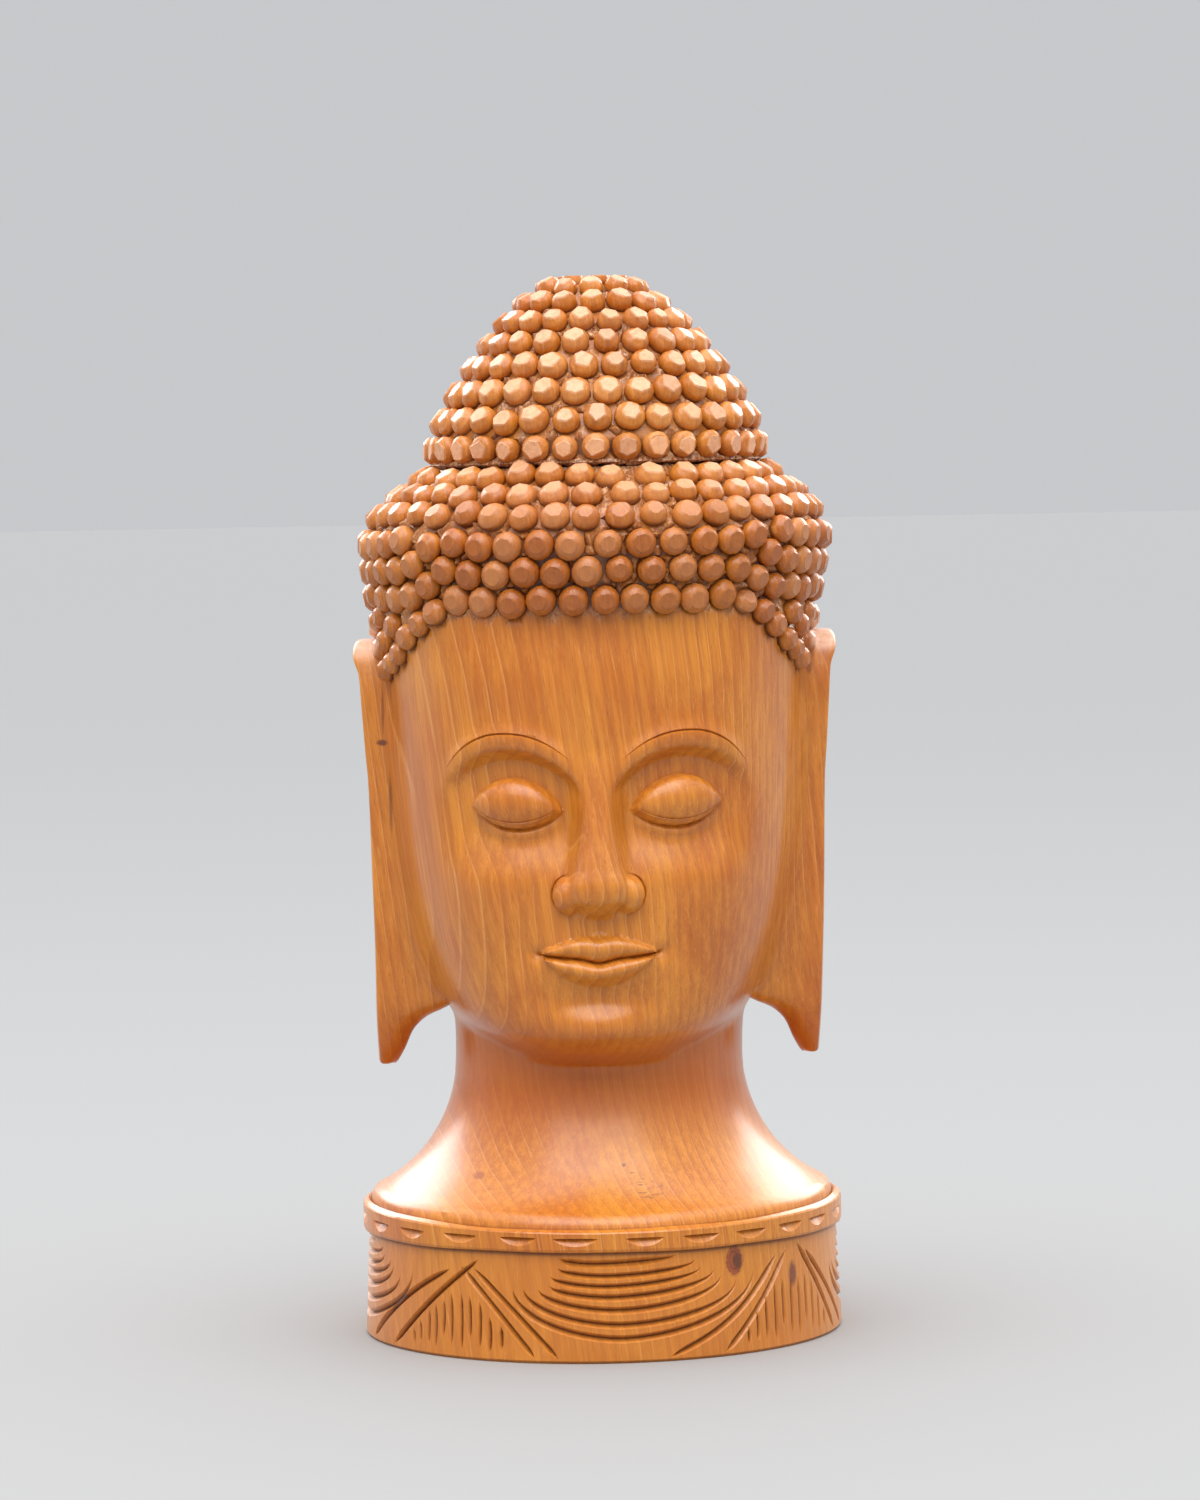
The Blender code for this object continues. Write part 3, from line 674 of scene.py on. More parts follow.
for j in range(6):
    candidates.append((2 * PI * (j + 0.3) / 6, float(np.interp(5.2, knot_line[::-1, 0], knot_v[::-1])), 2.1))
for i in range(11):
    z = 137.0 - ROW_PITCH * i
    r = float(head_radius(np.array(PI), np.array(z), False)) + 0.6
    n = int(round(2 * PI * r / 5.45))
    for j in range(n):
        th = 2 * PI * (j + 0.5 * (i % 2)) / n + 0.02 * i
        th = (th + PI) % (2 * PI) - PI
        edge = float(hair_edge(np.array(th)))
        if z < edge + 1.9:
            continue
        candidates.append((th, float(z_to_v(z)), 2.7))

cand = np.array(candidates)
cand[:, 0] += rng.normal(0, 0.0035, len(cand))
cand[:, 1] += rng.normal(0, 0.2, len(cand))
place3 = skin(cand[:, 0], cand[:, 1], False)
kept = []
for i in range(len(cand)):
    x, y, z = place3[i]
    if 62.0 < z < EAR_TOP + 2.6:
        yf = float(curve(EAR_FRONT, z)) - 2.0
        yb = float(curve(EAR_BACK_Y, z)) + 2.4
        if yf < y < yb and abs(x) > 30:
            continue
    if kept:
        d = np.linalg.norm(place3[kept] - place3[i], axis=1).min()
        if d < (4.1 if z < 158.5 else 3.7 if z < 200.4 else 3.0):
            continue
    kept.append(i)
curls = cand[kept]
centres = place3[kept]


def in_ear_zone(q):
    return ((q[:, 2] > 62.0) & (q[:, 2] < EAR_TOP + 2.6) & (np.abs(q[:, 0]) > 30)
            & (q[:, 1] > curve(EAR_FRONT, q[:, 2]) - 2.0) & (q[:, 1] < curve(EAR_BACK_Y, q[:, 2]) + 2.4))


# gaps are filled, then the curls at the temples and behind settle into place
for gap in (4.3, 4.0, 0.0):
    if gap:
        tries = np.stack((rng.uniform(-PI, PI, 9000), rng.uniform(z_to_v(80.0), V_TOP - 8.0, 9000)), 1)
        spot = skin(tries[:, 0], tries[:, 1], False)
        z = spot[:, 2]
        open_spot = ~in_ear_zone(spot) & (
            ((z < 168.0) & (z > hair_edge(tries[:, 0]) + 2.15) & (z < CROWN_Z - 2.5)) | (z > 169.4))
        for (th, v), q in zip(tries[open_spot], spot[open_spot]):
            if np.linalg.norm(centres - q, axis=1).min() >= gap + (0.55 if q[2] > 157.5 else 0.0):
                curls = np.vstack((curls, [th, v, 2.55]))
                centres = np.vstack((centres, q))
    a_deg = np.degrees(np.abs(curls[:, 0]))
    gap0 = centres[:, 2] - hair_edge(curls[:, 0])
    loose_curl = (a_deg > 33.0) & (centres[:, 2] < 158.5) & (gap0 > 3.6)
    row_curl = (centres[:, 2] > 158.5) & (centres[:, 2] < 168.0)
    for _ in range(30):
        f1, f2_, _, fx, fv = frames(curls[:, 0], curls[:, 1])
        apart = centres[:, None] - centres[None]
        dist = np.linalg.norm(apart, axis=-1)
        np.fill_diagonal(dist, 99.0)
        push = np.clip(5.75 - dist, 0, None) / 5.75
        move = (apart / dist[..., None] * push[..., None]).sum(1)
        dx, dy = (move * f1).sum(1) * 0.8, (move * f2_).sum(1) * 0.8
        dx, dy = np.clip(dx, -0.5, 0.5), np.clip(dy, -0.5, 0.5)
        dy = np.where(row_curl, 0.0, dy)
        nt, nv = curls[:, 0] + dx / fx, curls[:, 1] + dy / fv
        q = skin(nt, nv, False)
        go = (row_curl | (loose_curl & (q[:, 2] > hair_edge(nt) + 3.2))) & ~in_ear_zone(q)
        curls[go, 0] = nt[go]
        curls[go, 1] = nv[go]
        centres = skin(curls[:, 0], curls[:, 1], False)
curls[:, 0] = (curls[:, 0] + PI) % (2 * PI) - PI
dist = np.linalg.norm(centres[:, None] - centres[None], axis=-1)
np.fill_diagonal(dist, 99.0)
radius = np.minimum(curls[:, 2] * rng.normal(1.0, 0.02, len(curls)), np.where(curls[:, 2] > 2.9, 3.1, 2.95))
for _ in range(3):
    for i in range(len(curls)):
        near = np.nonzero(dist[i] < 6.2)[0]
        for jj in near:
            room = dist[i, jj] - 0.05
            if radius[i] + radius[jj] > room:
                k2 = room / (radius[i] + radius[jj])
                radius[i] *= k2
                radius[jj] *= k2
print("curls", len(curls), "radii", radius.min(), radius.max())

e1, e2, en, sx, sv = frames(curls[:, 0], curls[:, 1])
curl_tone = rng.random(len(curls))
for c in range(len(curls)):
    th, vv, _ = curls[c]
    rho = radius[c]
    z = centres[c, 2]
    high = float(step(150.0, 172.0, z))
    n = 14
    sides = int(rng.integers(5, 7)) if rng.random() < high else 8
    phi0 = rng.random() * 2 * PI
    spin = rng.random() * 2 * PI
    az = phi0 + 2 * PI * (np.arange(sides) + np.clip(rng.normal(0, 0.05 + 0.09 * high, sides), -0.22, 0.22)) / sides
    tall = CURL_H * (0.93 + 0.12 * rng.random()) * (0.86 + 0.14 * rho / 2.55)
    flat_r = rho * (0.54 + 0.05 * high + float(np.clip(rng.normal(0, 0.035), -0.07, 0.07)))
    apothem = flat_r * math.cos(PI / sides) ** 0.5 * (1 + np.clip(rng.normal(0, 0.03 + 0.07 * high, sides), -0.2, 0.16))
    low_wall = 0.55
    crown_h = (tall - low_wall) / math.sqrt(1 - (flat_r / rho) ** 2)
    tip = rng.normal(0, 0.035 + 0.03 * high, 2)
    tip[1] -= 0.14 * high     # the higher curls are cut flat a little towards the sky
    # corners between neighbouring facets
    corner = np.empty(sides)
    reach = np.empty(sides)
    for k2 in range(sides):
        a0, a1 = az[k2], az[(k2 + 1) % sides] + (2 * PI if k2 == sides - 1 else 0)
        m = np.array(((math.cos(a0), math.sin(a0)), (math.cos(a1), math.sin(a1))))
        q = np.linalg.solve(m, np.array((apothem[k2], apothem[(k2 + 1) % sides])))
        q[1] += 0.11 * rho * high
        corner[k2] = math.atan2(q[1], q[0])
        reach[k2] = min(math.hypot(*q), rho * 0.75)
    ring_phi = spin + 2 * PI * np.arange(n) / n
    wobble = 1 + 0.012 * np.sin(2 * ring_phi + spin) + rng.normal(0, 0.004, n)
    # side facets pare the dome's shoulder a little on the higher curls
    steep = 1.0
    pare = np.min(tall - steep * (0.82 * rho * np.cos(ring_phi[:, None] - az[None]) - apothem[None]), axis=1)
    dome = low_wall + crown_h * math.sqrt(1 - 0.82 ** 2)
    shoulder = dome - (0.12 + 0.55 * high) * np.clip(dome - pare, -0.1, 0.45)

    def local(q, phi):
        dx, dy = q * np.cos(phi), q * np.sin(phi)
        return th + dx / sx[c], vv + dy / sv[c], dx, dy

    for q, h, name in (
        (rho * wobble, np.full(n, -0.42), "foot"),
        (rho * 0.992 * wobble, np.full(n, low_wall + crown_h * 0.12), "wall"),
        (rho * 0.935 * wobble, np.full(n, low_wall + crown_h * math.sqrt(1 - 0.935 ** 2)), "round"),
        (rho * 0.82 * wobble, shoulder, "shoulder"),
    ):
        a_th, a_v, dx, dy = local(q, ring_phi)
        swell = 1.022 if name == "wall" else 1.0
        dx, dy = dx * swell, dy * swell
        ids = add_points(a_th, a_v, h, KIND_CURL,
                         [(c, float(x), float(y), name) for x, y in zip(dx, dy)])
        links.extend(zip(ids, ids[1:] + ids[:1]))
    a_th, a_v, dx, dy = local(reach, corner)
    tops = tall + dx * tip[0] + dy * tip[1]
    ids = add_points(a_th, a_v, tops, KIND_CURL,
                     [(c, float(x), float(y), "top") for x, y in zip(dx, dy)])
    srt = list(np.argsort(np.mod(corner - phi0 + 0.4, 2 * PI)))
    ids = [ids[i] for i in srt]
    links.extend(zip(ids, ids[1:] + ids[:1]))

# ------------------------------------------------------------- fill points
N0 = 512
delta = 2 * PI / N0
row_h = delta * math.sqrt(3) / 2
rows = int(T_TOP / row_h)
jj, ii = np.meshgrid(np.arange(1, rows), np.arange(N0), indexing="ij")
jj, ii = jj.ravel(), ii.ravel()
th = ((ii + jj / 2.0) * delta + PI) % (2 * PI) - PI
tt = jj * row_h
vv = t_to_v(tt)
level = np.zeros(len(th), int)
for k in (1, 2, 3, 4, 5, 6):
    level[(ii % (1 << k) == 0) & (jj % (1 << k) == 0)] = k
rr = np.interp(vv, fine_v, mean_r)
zz = np.where((vv >= V_NECK) & (vv <= V_CROWN), NECK_V + vv - V_NECK, outline(vv)[1])
uu = 40.0 * th
au = np.abs(uu)
want = np.full(len(th), 2.2)
want[(vv > base_v[11])] = 1.9
head_zone = (vv > V_NECK)
want[head_zone & (zz < 63)] = 1.05
front_zone = head_zone & (zz < 140) & (au < 62)
want[front_zone & (zz >= 63)] = 1.75
want[front_zone & (zz >= 57) & (zz < 119) & (au < 33)] = 1.0
eyes = (np.abs(au - EYE_A) < 12.5) & (zz > 97) & (zz < 117)
nose = (au < 9.6) & (zz > 81.5) & (zz < 112)
mouth = (au < 14) & (zz > 68.3) & (zz < 81.6)
want[front_zone & (eyes | nose | mouth)] = 0.62
hair = (vv > V_NECK) & (zz > hair_edge(th) - 1.0) & (vv < V_CROWN)
want[hair] = 1.35
want[vv >= V_CROWN] = 1.3
need = np.clip(np.floor(np.log2(want / (delta * rr)) + 0.35), 0, 6).astype(int)
use = (level >= need) & (vv < V_TOP - 1.35)
th, vv, zz, hair = th[use], vv[use], zz[use], hair[use] | (vv[use] > V_CROWN)
want, need, rr = want[use], need[use], rr[use]
spacing = delta * rr * (1 << need)
loose = np.where(hair, 0.16, 0.03)
th = th + rng.normal(0, 1, len(th)) * loose * spacing / rr
vv = vv + rng.normal(0, 1, len(th)) * loose * spacing

fixed = skin(np.array(pts_theta), np.array(pts_v), False)
tree = KDTree(len(fixed))
for i, p in enumerate(fixed):
    tree.insert(p, i)
tree.balance()
spots = skin(th, vv, False)
curl_tree = KDTree(len(centres))
for i, p in enumerate(centres):
    curl_tree.insert(p, i)
curl_tree.balance()
ok = np.ones(len(th), bool)
for i, p in enumerate(spots):
    d = tree.find(p)[2]
    if d < 0.42 * spacing[i]:
        ok[i] = False
        continue
    if hair[i]:
        _, ci, cd = curl_tree.find(p)
        if cd < radius[ci] + 0.12:
            ok[i] = False
th, vv, hair, zz = th[ok], vv[ok], hair[ok], zz[ok]
rough = np.where(hair, np.clip(rng.normal(0.18, 0.32, len(th)), -0.25, 0.9), np.nan)
edge_gap = zz - hair_edge(th)
rough = np.where((zz < 140.5) & (edge_gap < 1.0) & (zz > 60), np.nan, rough)
for a, b, h in zip(th, vv, rough):
    pts_theta.append(float(a))
    pts_v.append(float(b))
    pts_h.append(float(h))
    pts_kind.append(KIND_FILL)
    pts_own.append(None)
print("points", len(pts_theta), "fill", len(th))

# ------------------------------------------------ triangles, closed round the back
P_th = np.array(pts_theta)
P_th = (P_th + PI) % (2 * PI) - PI
P_v = np.clip(np.array(pts_v), 0.0, V_TOP)
P_h = np.array(pts_h)
P_t = v_to_t(P_v)
count = len(P_th)
MARGIN = 1.25
copies = [(0, np.arange(count))]
left = np.nonzero(P_th > PI - MARGIN)[0]
right = np.nonzero(P_th < -PI + MARGIN)[0]
flat_th = np.concatenate((P_th, P_th[left] - 2 * PI, P_th[right] + 2 * PI))
flat_t = np.concatenate((P_t, P_t[left], P_t[right]))
origin = np.concatenate((np.arange(count), left, right))
slot_of = {}
for i, o in enumerate(origin):
    shift = 0 if i < count else (-1 if i < count + len(left) else 1)
    slot_of[int(o), shift] = i
edges = set()
for a, b in links:
    d = P_th[b] - P_th[a]
    rel = 0 if abs(d) < PI else (-1 if d > 0 else 1)   # lap of b when a is on lap 0
    for lap in (-1, 0, 1):
        i, j = slot_of.get((a, lap)), slot_of.get((b, lap + rel))
        if i is not None and j is not None:
            edges.add((i, j))
points = [Vector((float(a), float(b))) for a, b in zip(flat_th, flat_t)]
v2, e2d, f2, ov, oe, of_ = delaunay_2d_cdt(points, sorted(edges), [], 0, 1e-7, True)
print("flat", len(v2), len(f2))
flat2 = np.array([(p.x, p.y) for p in v2])
source = np.full(len(v2), -1)
for i, o in enumerate(ov):
    if o:
        source[i] = origin[min(o)]
tri = np.array([f for f in f2 if len(f) == 3])
mid = flat2[tri].mean(1)[:, 0]
tri = tri[(mid >= -PI) & (mid < PI)]

new = np.nonzero(source < 0)[0]
new_used = np.intersect1d(new, np.unique(tri))
extra_th = (flat2[new_used, 0] + PI) % (2 * PI) - PI
extra_v = t_to_v(flat2[new_used, 1])
key = {}
more_th, more_v = [], []
for i, a, b in zip(new_used, extra_th, extra_v):
    name = (round(float(a), 4), round(float(b), 3))
    if name not in key:
        key[name] = count + len(more_th)
        more_th.append(a)
        more_v.append(b)
    source[i] = key[name]
A_th = np.concatenate((P_th, more_th))
A_v = np.concatenate((P_v, more_v))
A_h = np.concatenate((P_h, np.full(len(more_th), np.nan)))
tri = source[tri]
good = (tri[:, 0] != tri[:, 1]) & (tri[:, 1] != tri[:, 2]) & (tri[:, 0] != tri[:, 2])
tri = tri[good]

# --------------------------------------------------------------- positions
_, _, nn, _, _ = frames(A_th, A_v)
pos = skin(A_th, A_v, True)
spot_of = skin(A_th, A_v, False)
z_flat = spot_of[:, 2]
height = np.where(np.isnan(A_h), 0.0, A_h)
auto = np.isnan(A_h)
dark = np.zeros(len(A_th))
on_drum = auto & (A_v > base_v[1] + 1e-6) & (A_v < base_v[2] - 1e-6)
lap = 2 * PI * DRUM_R
cut = np.zeros(len(A_th))
for shift in (-1, 0, 1):
    idx = np.nonzero(on_drum)[0]
    cut[idx] = np.maximum(cut[idx], groove_depth(A_th[idx] * DRUM_R + shift * lap, z_flat[idx], "drum"))
on_face_zone = auto & (A_v > V_NECK) & (z_flat < 125) & (np.abs(A_th) < 0.95)
idx = np.nonzero(on_face_zone)[0]
cut[idx] = groove_depth(A_th[idx] * 40.0, z_flat[idx], "face")
on_band = auto & (A_v > base_v[4] - 0.2) & (A_v < base_v[6])
idx = np.nonzero(on_band)[0]
chip, chip_shade = chip_depth(A_th[idx] * 46.1, z_flat[idx])
# painted shade and stain in the grooves, and painted shade along the top wall of each chip
cut_shade_and_stain = np.clip(cut / 0.55, 0, 1)
cut_shade_and_stain[idx] = np.maximum(cut_shade_and_stain[idx], chip_shade)
cut[idx] = np.maximum(cut[idx], chip)
height = height - cut
# hand-cut unevenness of the drum, band and flare
uneven = 0.10 * np.sin(5 * A_th + 0.7) + 0.07 * np.sin(11 * A_th + 2.1 + A_v * 0.08)
uneven = uneven * (A_v < base_v[11]) * step(0.0, 3.0, A_v)
height = height + np.where(auto, uneven, 0)
pos = pos + nn * height[:, None]
saw_spot = np.exp(-((A_th - 0.76) / 0.05) ** 2) * ((A_v > V_CROWN + 0.05) & (A_v < knot_v[3] - 0.05))
pos[:, 0] -= np.sin(A_th) * 1.5 * saw_spot
pos[:, 1] += np.cos(A_th) * 1.5 * saw_spot

own_id = np.full(len(A_th), -1)
own_dy = np.zeros(len(A_th))
part_of = np.zeros(len(A_th), int)
names = {"foot": 1, "wall": 2, "round": 3, "shoulder": 4, "top": 5}
for i, o in enumerate(pts_own):
    if o is None:
        continue
    c, dx, dy, name = o
    own_id[i] = c
    own_dy[i] = dy
    part_of[i] = names[name]
    if name != "foot":
        pos[i] = centres[c] + e1[c] * dx + e2[c] * dy + en[c] * A_h[i]
pos[:, 2] = np.minimum(pos[:, 2], SAWN_TOP)


def place(p):
    """The head's small shift and lean, and the rim cut lower in front."""
    z = p[:, 2]
    w = step(52.0, 84.0, z)
    out = p.copy()
    out[:, 0] = p[:, 0] + curve(SHIFT, z)
    out[:, 2] = z + HEAD_ROLL * p[:, 0] * w
    front = np.exp(-(np.arctan2(p[:, 0], -p[:, 1]) / 1.05) ** 2)
    out[:, 2] += front * (-1.25 * step(23.0, 26.2, z) * (1 - step(27.0, 42.0, z))
                          + 0.55 * step(17.5, 20.6, z) * (1 - step(20.8, 23.0, z)))
    return out * MM


real = place(pos)
edge_dist = z_flat - hair_edge(A_th)

# tone: painted shade (with some stain in the cuts) and how rough each spot is
cavity = cut_shade_and_stain.copy()
# painted shade: a dark ring round each curl's foot, and darker on the lower side of its wall, less on the higher rows
cavity = np.where(part_of == 1, 1.0, cavity)
cavity = np.where(part_of == 2, 0.55 * np.clip(-own_dy / 2.6, 0, 1) ** 1.5 * (1 - step(160.0, 176.0, z_flat)), cavity)
in_hair = ((z_flat > hair_edge(A_th)) & (A_v > V_NECK) & (own_id < 0)) | (A_v > V_CROWN)
in_hair &= own_id < 0
ground = np.where(in_hair, 1.0, 0.0)
groove_ring = (np.abs(A_v - base_v[10]) < 0.25) | ((A_v > V_CROWN + 0.2) & (A_v < knot_v[3] - 0.1))
# painted shade, with some stain, in the ring grooves under the flare and under the topknot
cavity = np.where(groove_ring, 1.0, cavity)
# painted shadow line under the band
cavity = np.where(np.abs(A_v - base_v[2]) < 0.2, 0.9, cavity)
# painted shade on the ground close round each curl
for i in np.nonzero(in_hair)[0]:
    _, ci, cd = curl_tree.find(spot_of[i])
    cavity[i] = max(cavity[i], 0.75 * (1 - min(1.0, max(0.0, (cd - radius[ci]) / 0.55))))
tone = np.where(own_id >= 0, 0.40 * (curl_tone[np.maximum(own_id, 0)] - 0.5), 0.0)
crown_cut = A_v > V_TOP - 1.4
ground = np.where(crown_cut, 0.0, ground)
facet_mark = np.select([part_of == 5, part_of == 4, part_of == 3], [1.0, 0.7, 0.25], 0.0)

facet_mark = np.where(crown_cut, 1.0, facet_mark)
mesh = bpy.data.meshes.new("body_skin")
bm_faces = tri.tolist()
used = np.unique(tri)
remap = np.full(len(A_th), -1)
remap[used] = np.arange(len(used))
verts = real[used]
faces = remap[tri]

# caps: the sawn top and the underside
ring_top = [remap[i] for i in top_ring]
bottom = [remap[i] for i in range(len(A_th)) if A_v[i] < 1e-6 and remap[i] >= 0]
bottom.sort(key=lambda i: A_th[used[i]])
centre_top = len(verts)
centre_low = len(verts) + 1
verts = np.vstack((verts, real[top_ring].mean(0), [[0, 0, 0]]))
ring_top.sort(key=lambda i: A_th[used[i]])
caps = [(ring_top[i], ring_top[(i + 1) % len(ring_top)], centre_top) for i in range(len(ring_top))]
inner_low = []
caps += [(bottom[(i + 1) % len(bottom)], bottom[i], centre_low) for i in range(len(bottom))]
faces = np.vstack((faces, np.array(caps)))
extra = lambda arr, v: np.concatenate((arr[used], [v, v]))
# the first attribute carries the painted shade, with some stain in the cuts
attr = {
    "cavity": extra(cavity, 0.0), "ground": extra(ground, 0.0),
    "tone": extra(tone, 0.0), "facet": extra(facet_mark, 0.0),
}
attr["facet"][-2] = 1.0

mesh.from_pydata(verts.tolist(), [], faces.tolist())
mesh.update()
for name, values in attr.items():
    layer = mesh.attributes.new(name, "FLOAT", "POINT")
    layer.data.foreach_set("value", values.astype(np.float32))
body = bpy.data.objects.new("carved_head_body", mesh)
bpy.context.scene.collection.objects.link(body)

bm = bmesh.new()
bm.from_mesh(mesh)
open_edges = [e for e in bm.edges if len(e.link_faces) != 2]
print("body verts", len(bm.verts), "faces", len(bm.faces), "edges not shared by two", len(open_edges))
for e in open_edges[:12]:
    print("   ", [tuple(round(c * 1000, 2) for c in v.co) for v in e.verts], len(e.link_faces))
volume = bm.calc_volume(signed=True)
print("volume cm3", round(volume * 1e6, 1))
bm.free()


# ------------------------------------------------------------- ears, lofted
def ear(side, name):
    levels = np.concatenate((EAR_FOOT + 0.8 * (1 - np.cos(np.linspace(0, PI / 2, 5))),
                             np.linspace(EAR_FOOT + 0.8, 66.0, 20)[1:], np.linspace(66.0, 122.0, 42)[1:],
                             np.linspace(122.0, EAR_TOP - 1.6, 14)[1:],
                             EAR_TOP - 1.6 + 1.6 * np.sin(np.linspace(0, PI / 2, 6))[1:]))
    em = bmesh.new()
    loops = []
    for z in levels:
        xo, yf, yb = (float(curve(k, z)) for k in (EAR_OUT, EAR_FRONT, EAR_BACK_Y))
        th_a = math.radians(67.0 + 7.5 * float(step(112.0, 125.0, z)))
        q = max(0.0, (z - (EAR_TOP - 1.6)) / 1.6, (EAR_FOOT + 0.8 - z) / 0.8)
        inset = (1.25 if z > 90 else 0.7) * (1 - math.sqrt(max(0.0, 1 - min(q, 1.0) ** 2)))
        xo, yf, yb = xo - inset * 0.8, yf + inset, yb - inset
        r_a = float(head_radius(np.array(th_a), np.array(max(z, 64.5)), False)) - 0.14
        root = np.array((r_a * math.sin(th_a), -r_a * math.cos(th_a)))
        free_x = float(curve(EAR_IN, z)) + inset * 0.5 * (z < 60)
        k = float(step(60.5, 67.5, z))
        a_pt = np.array((free_x, yf + 2.6)) * (1 - k) + root * k
        tan = np.array((math.cos(th_a), math.sin(th_a)))
        b_pt = np.array((a_pt[0] * 0.42 + xo * 0.58, yf + 0.15))
        s = max(0.3, (b_pt[1] - 0.2 - a_pt[1]) / tan[1])
        c_pt = a_pt + tan * s * k + np.array((1.2, -2.2)) * (1 - k)
        pts = []
        for q in np.linspace(0, 1, 9):
            pts.append((1 - q) ** 2 * a_pt + 2 * q * (1 - q) * c_pt + q * q * b_pt)
        cr = min(0.9, 0.22 * (xo - b_pt[0]) + 0.2)
        for q in np.linspace(0, 1, 4):
            ang = -PI / 2 + q * PI / 2
            pts.append(np.array((xo - cr + cr * math.cos(ang), yf + cr + cr * math.sin(ang))))
        for q in (0.2, 0.4, 0.6, 0.8):
            pts.append(np.array((xo + 0.30 * math.sin(q * PI), yf + cr + (yb - yf - 2.6 * cr) * q)))
        for q in np.linspace(0, 1, 4):
            ang = q * PI / 2
            c2 = cr * 1.5
            pts.append(np.array((xo - c2 + c2 * math.cos(ang), yb - c2 + c2 * math.sin(ang))))
        core = free_x + 0.0 if z < 62 else float(curve(((62, free_x), (66, 27.5), (84, 31.0), (EAR_TOP, 35.5)), z))
        if z < 62:
            pts.append(np.array((free_x + 0.7, yb - 0.2)))
            pts.append(np.array((free_x, yb - 1.2)))
            pts.append(np.array((free_x - 0.0, (yf + yb) / 2)))
            pts.append(np.array((free_x, yf + 3.1)))
        else:
            pts.append(np.array((core + 1.5, yb)))
            pts.append(np.array((core, yb - 1.0)))
            pts.append(np.array((core, (a_pt[1] + yb) / 2)))
            pts.append(np.array((core, a_pt[1] + 0.8)))
        lift = 0.9 * (1 - float(step(52.0, 72.0, z))) if side > 0 else 0.0
        arr = np.array([(p[0], p[1], z + lift) for p in pts])
        arr[:, 0] *= side
        loops.append([em.verts.new(p) for p in place(arr)])
    n = len(loops[0])
    for low, high in zip(loops, loops[1:]):
        for j in range(n):
            k = (j + 1) % n
            em.faces.new((low[j], low[k], high[k], high[j]))
    em.faces.new(list(reversed(loops[0])))
    em.faces.new(loops[-1])
    bmesh.ops.recalc_face_normals(em, faces=list(em.faces))
    bmesh.ops.triangulate(em, faces=list(em.faces))
    em_mesh = bpy.data.meshes.new(name)
    em.to_mesh(em_mesh)
    em.free()
    obj = bpy.data.objects.new(name, em_mesh)
    bpy.context.scene.collection.objects.link(obj)
    return obj


cutters = []
for side, name in ((-1, "ear_left_form"), (1, "ear_right_form")):
    form = ear(side, name)
    union = body.modifiers.new(name, "BOOLEAN")
    union.operation = "UNION"
    union.object = form
    union.solver = "MANIFOLD"
    cutters.append(form)

dg = bpy.context.evaluated_depsgraph_get()
done = bpy.data.meshes.new_from_object(body.evaluated_get(dg), depsgraph=dg)
print("after ears", len(done.vertices), len(done.polygons))
body.modifiers.clear()
body.data = done
for form in cutters:
    bpy.data.objects.remove(form, do_unlink=True)
body.name = "carved_head_figure"
mesh = body.data
bm = bmesh.new()
bm.from_mesh(mesh)
bmesh.ops.triangulate(bm, faces=[f for f in bm.faces if len(f.verts) > 3])
bad = [e for e in bm.edges if len(e.link_faces) != 2]
print("final verts", len(bm.verts), "faces", len(bm.faces), "bad", len(bad))
bm.to_mesh(mesh)
bm.free()
mesh.shade_smooth()
bm = bmesh.new()
bm.from_mesh(mesh)
facet_layer = bm.verts.layers.float.get("facet")
for e in bm.edges:
    turn = e.calc_face_angle(0.0)
    cut_face = min(e.verts[0][facet_layer], e.verts[1][facet_layer])
    on_band = 0.0208 < min(v.co.z for v in e.verts) and max(v.co.z for v in e.verts) < 0.0252
    e.smooth = not (turn > (0.3 if on_band else 0.66) or (cut_face > 0.95 and turn > 0.12) or (cut_face > 0.6 and turn > 0.42))
bm.to_mesh(mesh)
bm.free()

# ---------------------------------------------------------------- material
# Oiled and varnished plantation wood. All patterns run in object millimetres.
wood = bpy.data.materials.new("varnished_wood")
wood.use_nodes = True
nt = wood.node_tree
lk = nt.links
shader = nt.nodes["Principled BSDF"]


def make(kind, **settings):
    n = nt.nodes.new(kind)
    for k, v in settings.items():
        setattr(n, k, v)
    return n


def feed(socket, value):
    if isinstance(value, bpy.types.NodeSocket):
        lk.new(value, socket)
    else:
        socket.default_value = value


def math_(op, a, b=0.0, c=0.0, clamp=False):
    n = make("ShaderNodeMath", operation=op, use_clamp=clamp)
    for socket, value in zip(n.inputs, (a, b, c)):
        feed(socket, value)
    return n.outputs[0]


def vec(op, a, b=None):
    n = make("ShaderNodeVectorMath", operation=op)
    feed(n.inputs[0], a)
    if b is not None:
        feed(n.inputs[1], b)
    return n.outputs["Value"] if op in ("LENGTH", "DOT_PRODUCT", "DISTANCE") else n.outputs["Vector"]


def ramp(value, lo, hi, to_lo=0.0, to_hi=1.0, smooth=True):
    n = make("ShaderNodeMapRange", interpolation_type="SMOOTHSTEP" if smooth else "LINEAR")
    feed(n.inputs["Value"], value)
    for name, v in (("From Min", lo), ("From Max", hi), ("To Min", to_lo), ("To Max", to_hi)):
        n.inputs[name].default_value = v
    return n.outputs["Result"]


def noise(where, scale, detail=3.0, rough=0.55, distort=0.0):
    n = make("ShaderNodeTexNoise")
    feed(n.inputs["Vector"], where)
    n.inputs["Scale"].default_value = scale
    n.inputs["Detail"].default_value = detail
    n.inputs["Roughness"].default_value = rough
    n.inputs["Distortion"].default_value = distort
    return n.outputs["Fac"]


def blend(fac, a, b, mode="MIX"):
    n = make("ShaderNodeMix", data_type="RGBA", blend_type=mode)
    feed(n.inputs[0], fac)
    feed(n.inputs[6], a if isinstance(a, bpy.types.NodeSocket) else (*a, 1.0))
    feed(n.inputs[7], b if isinstance(b, bpy.types.NodeSocket) else (*b, 1.0))
    return n.outputs[2]


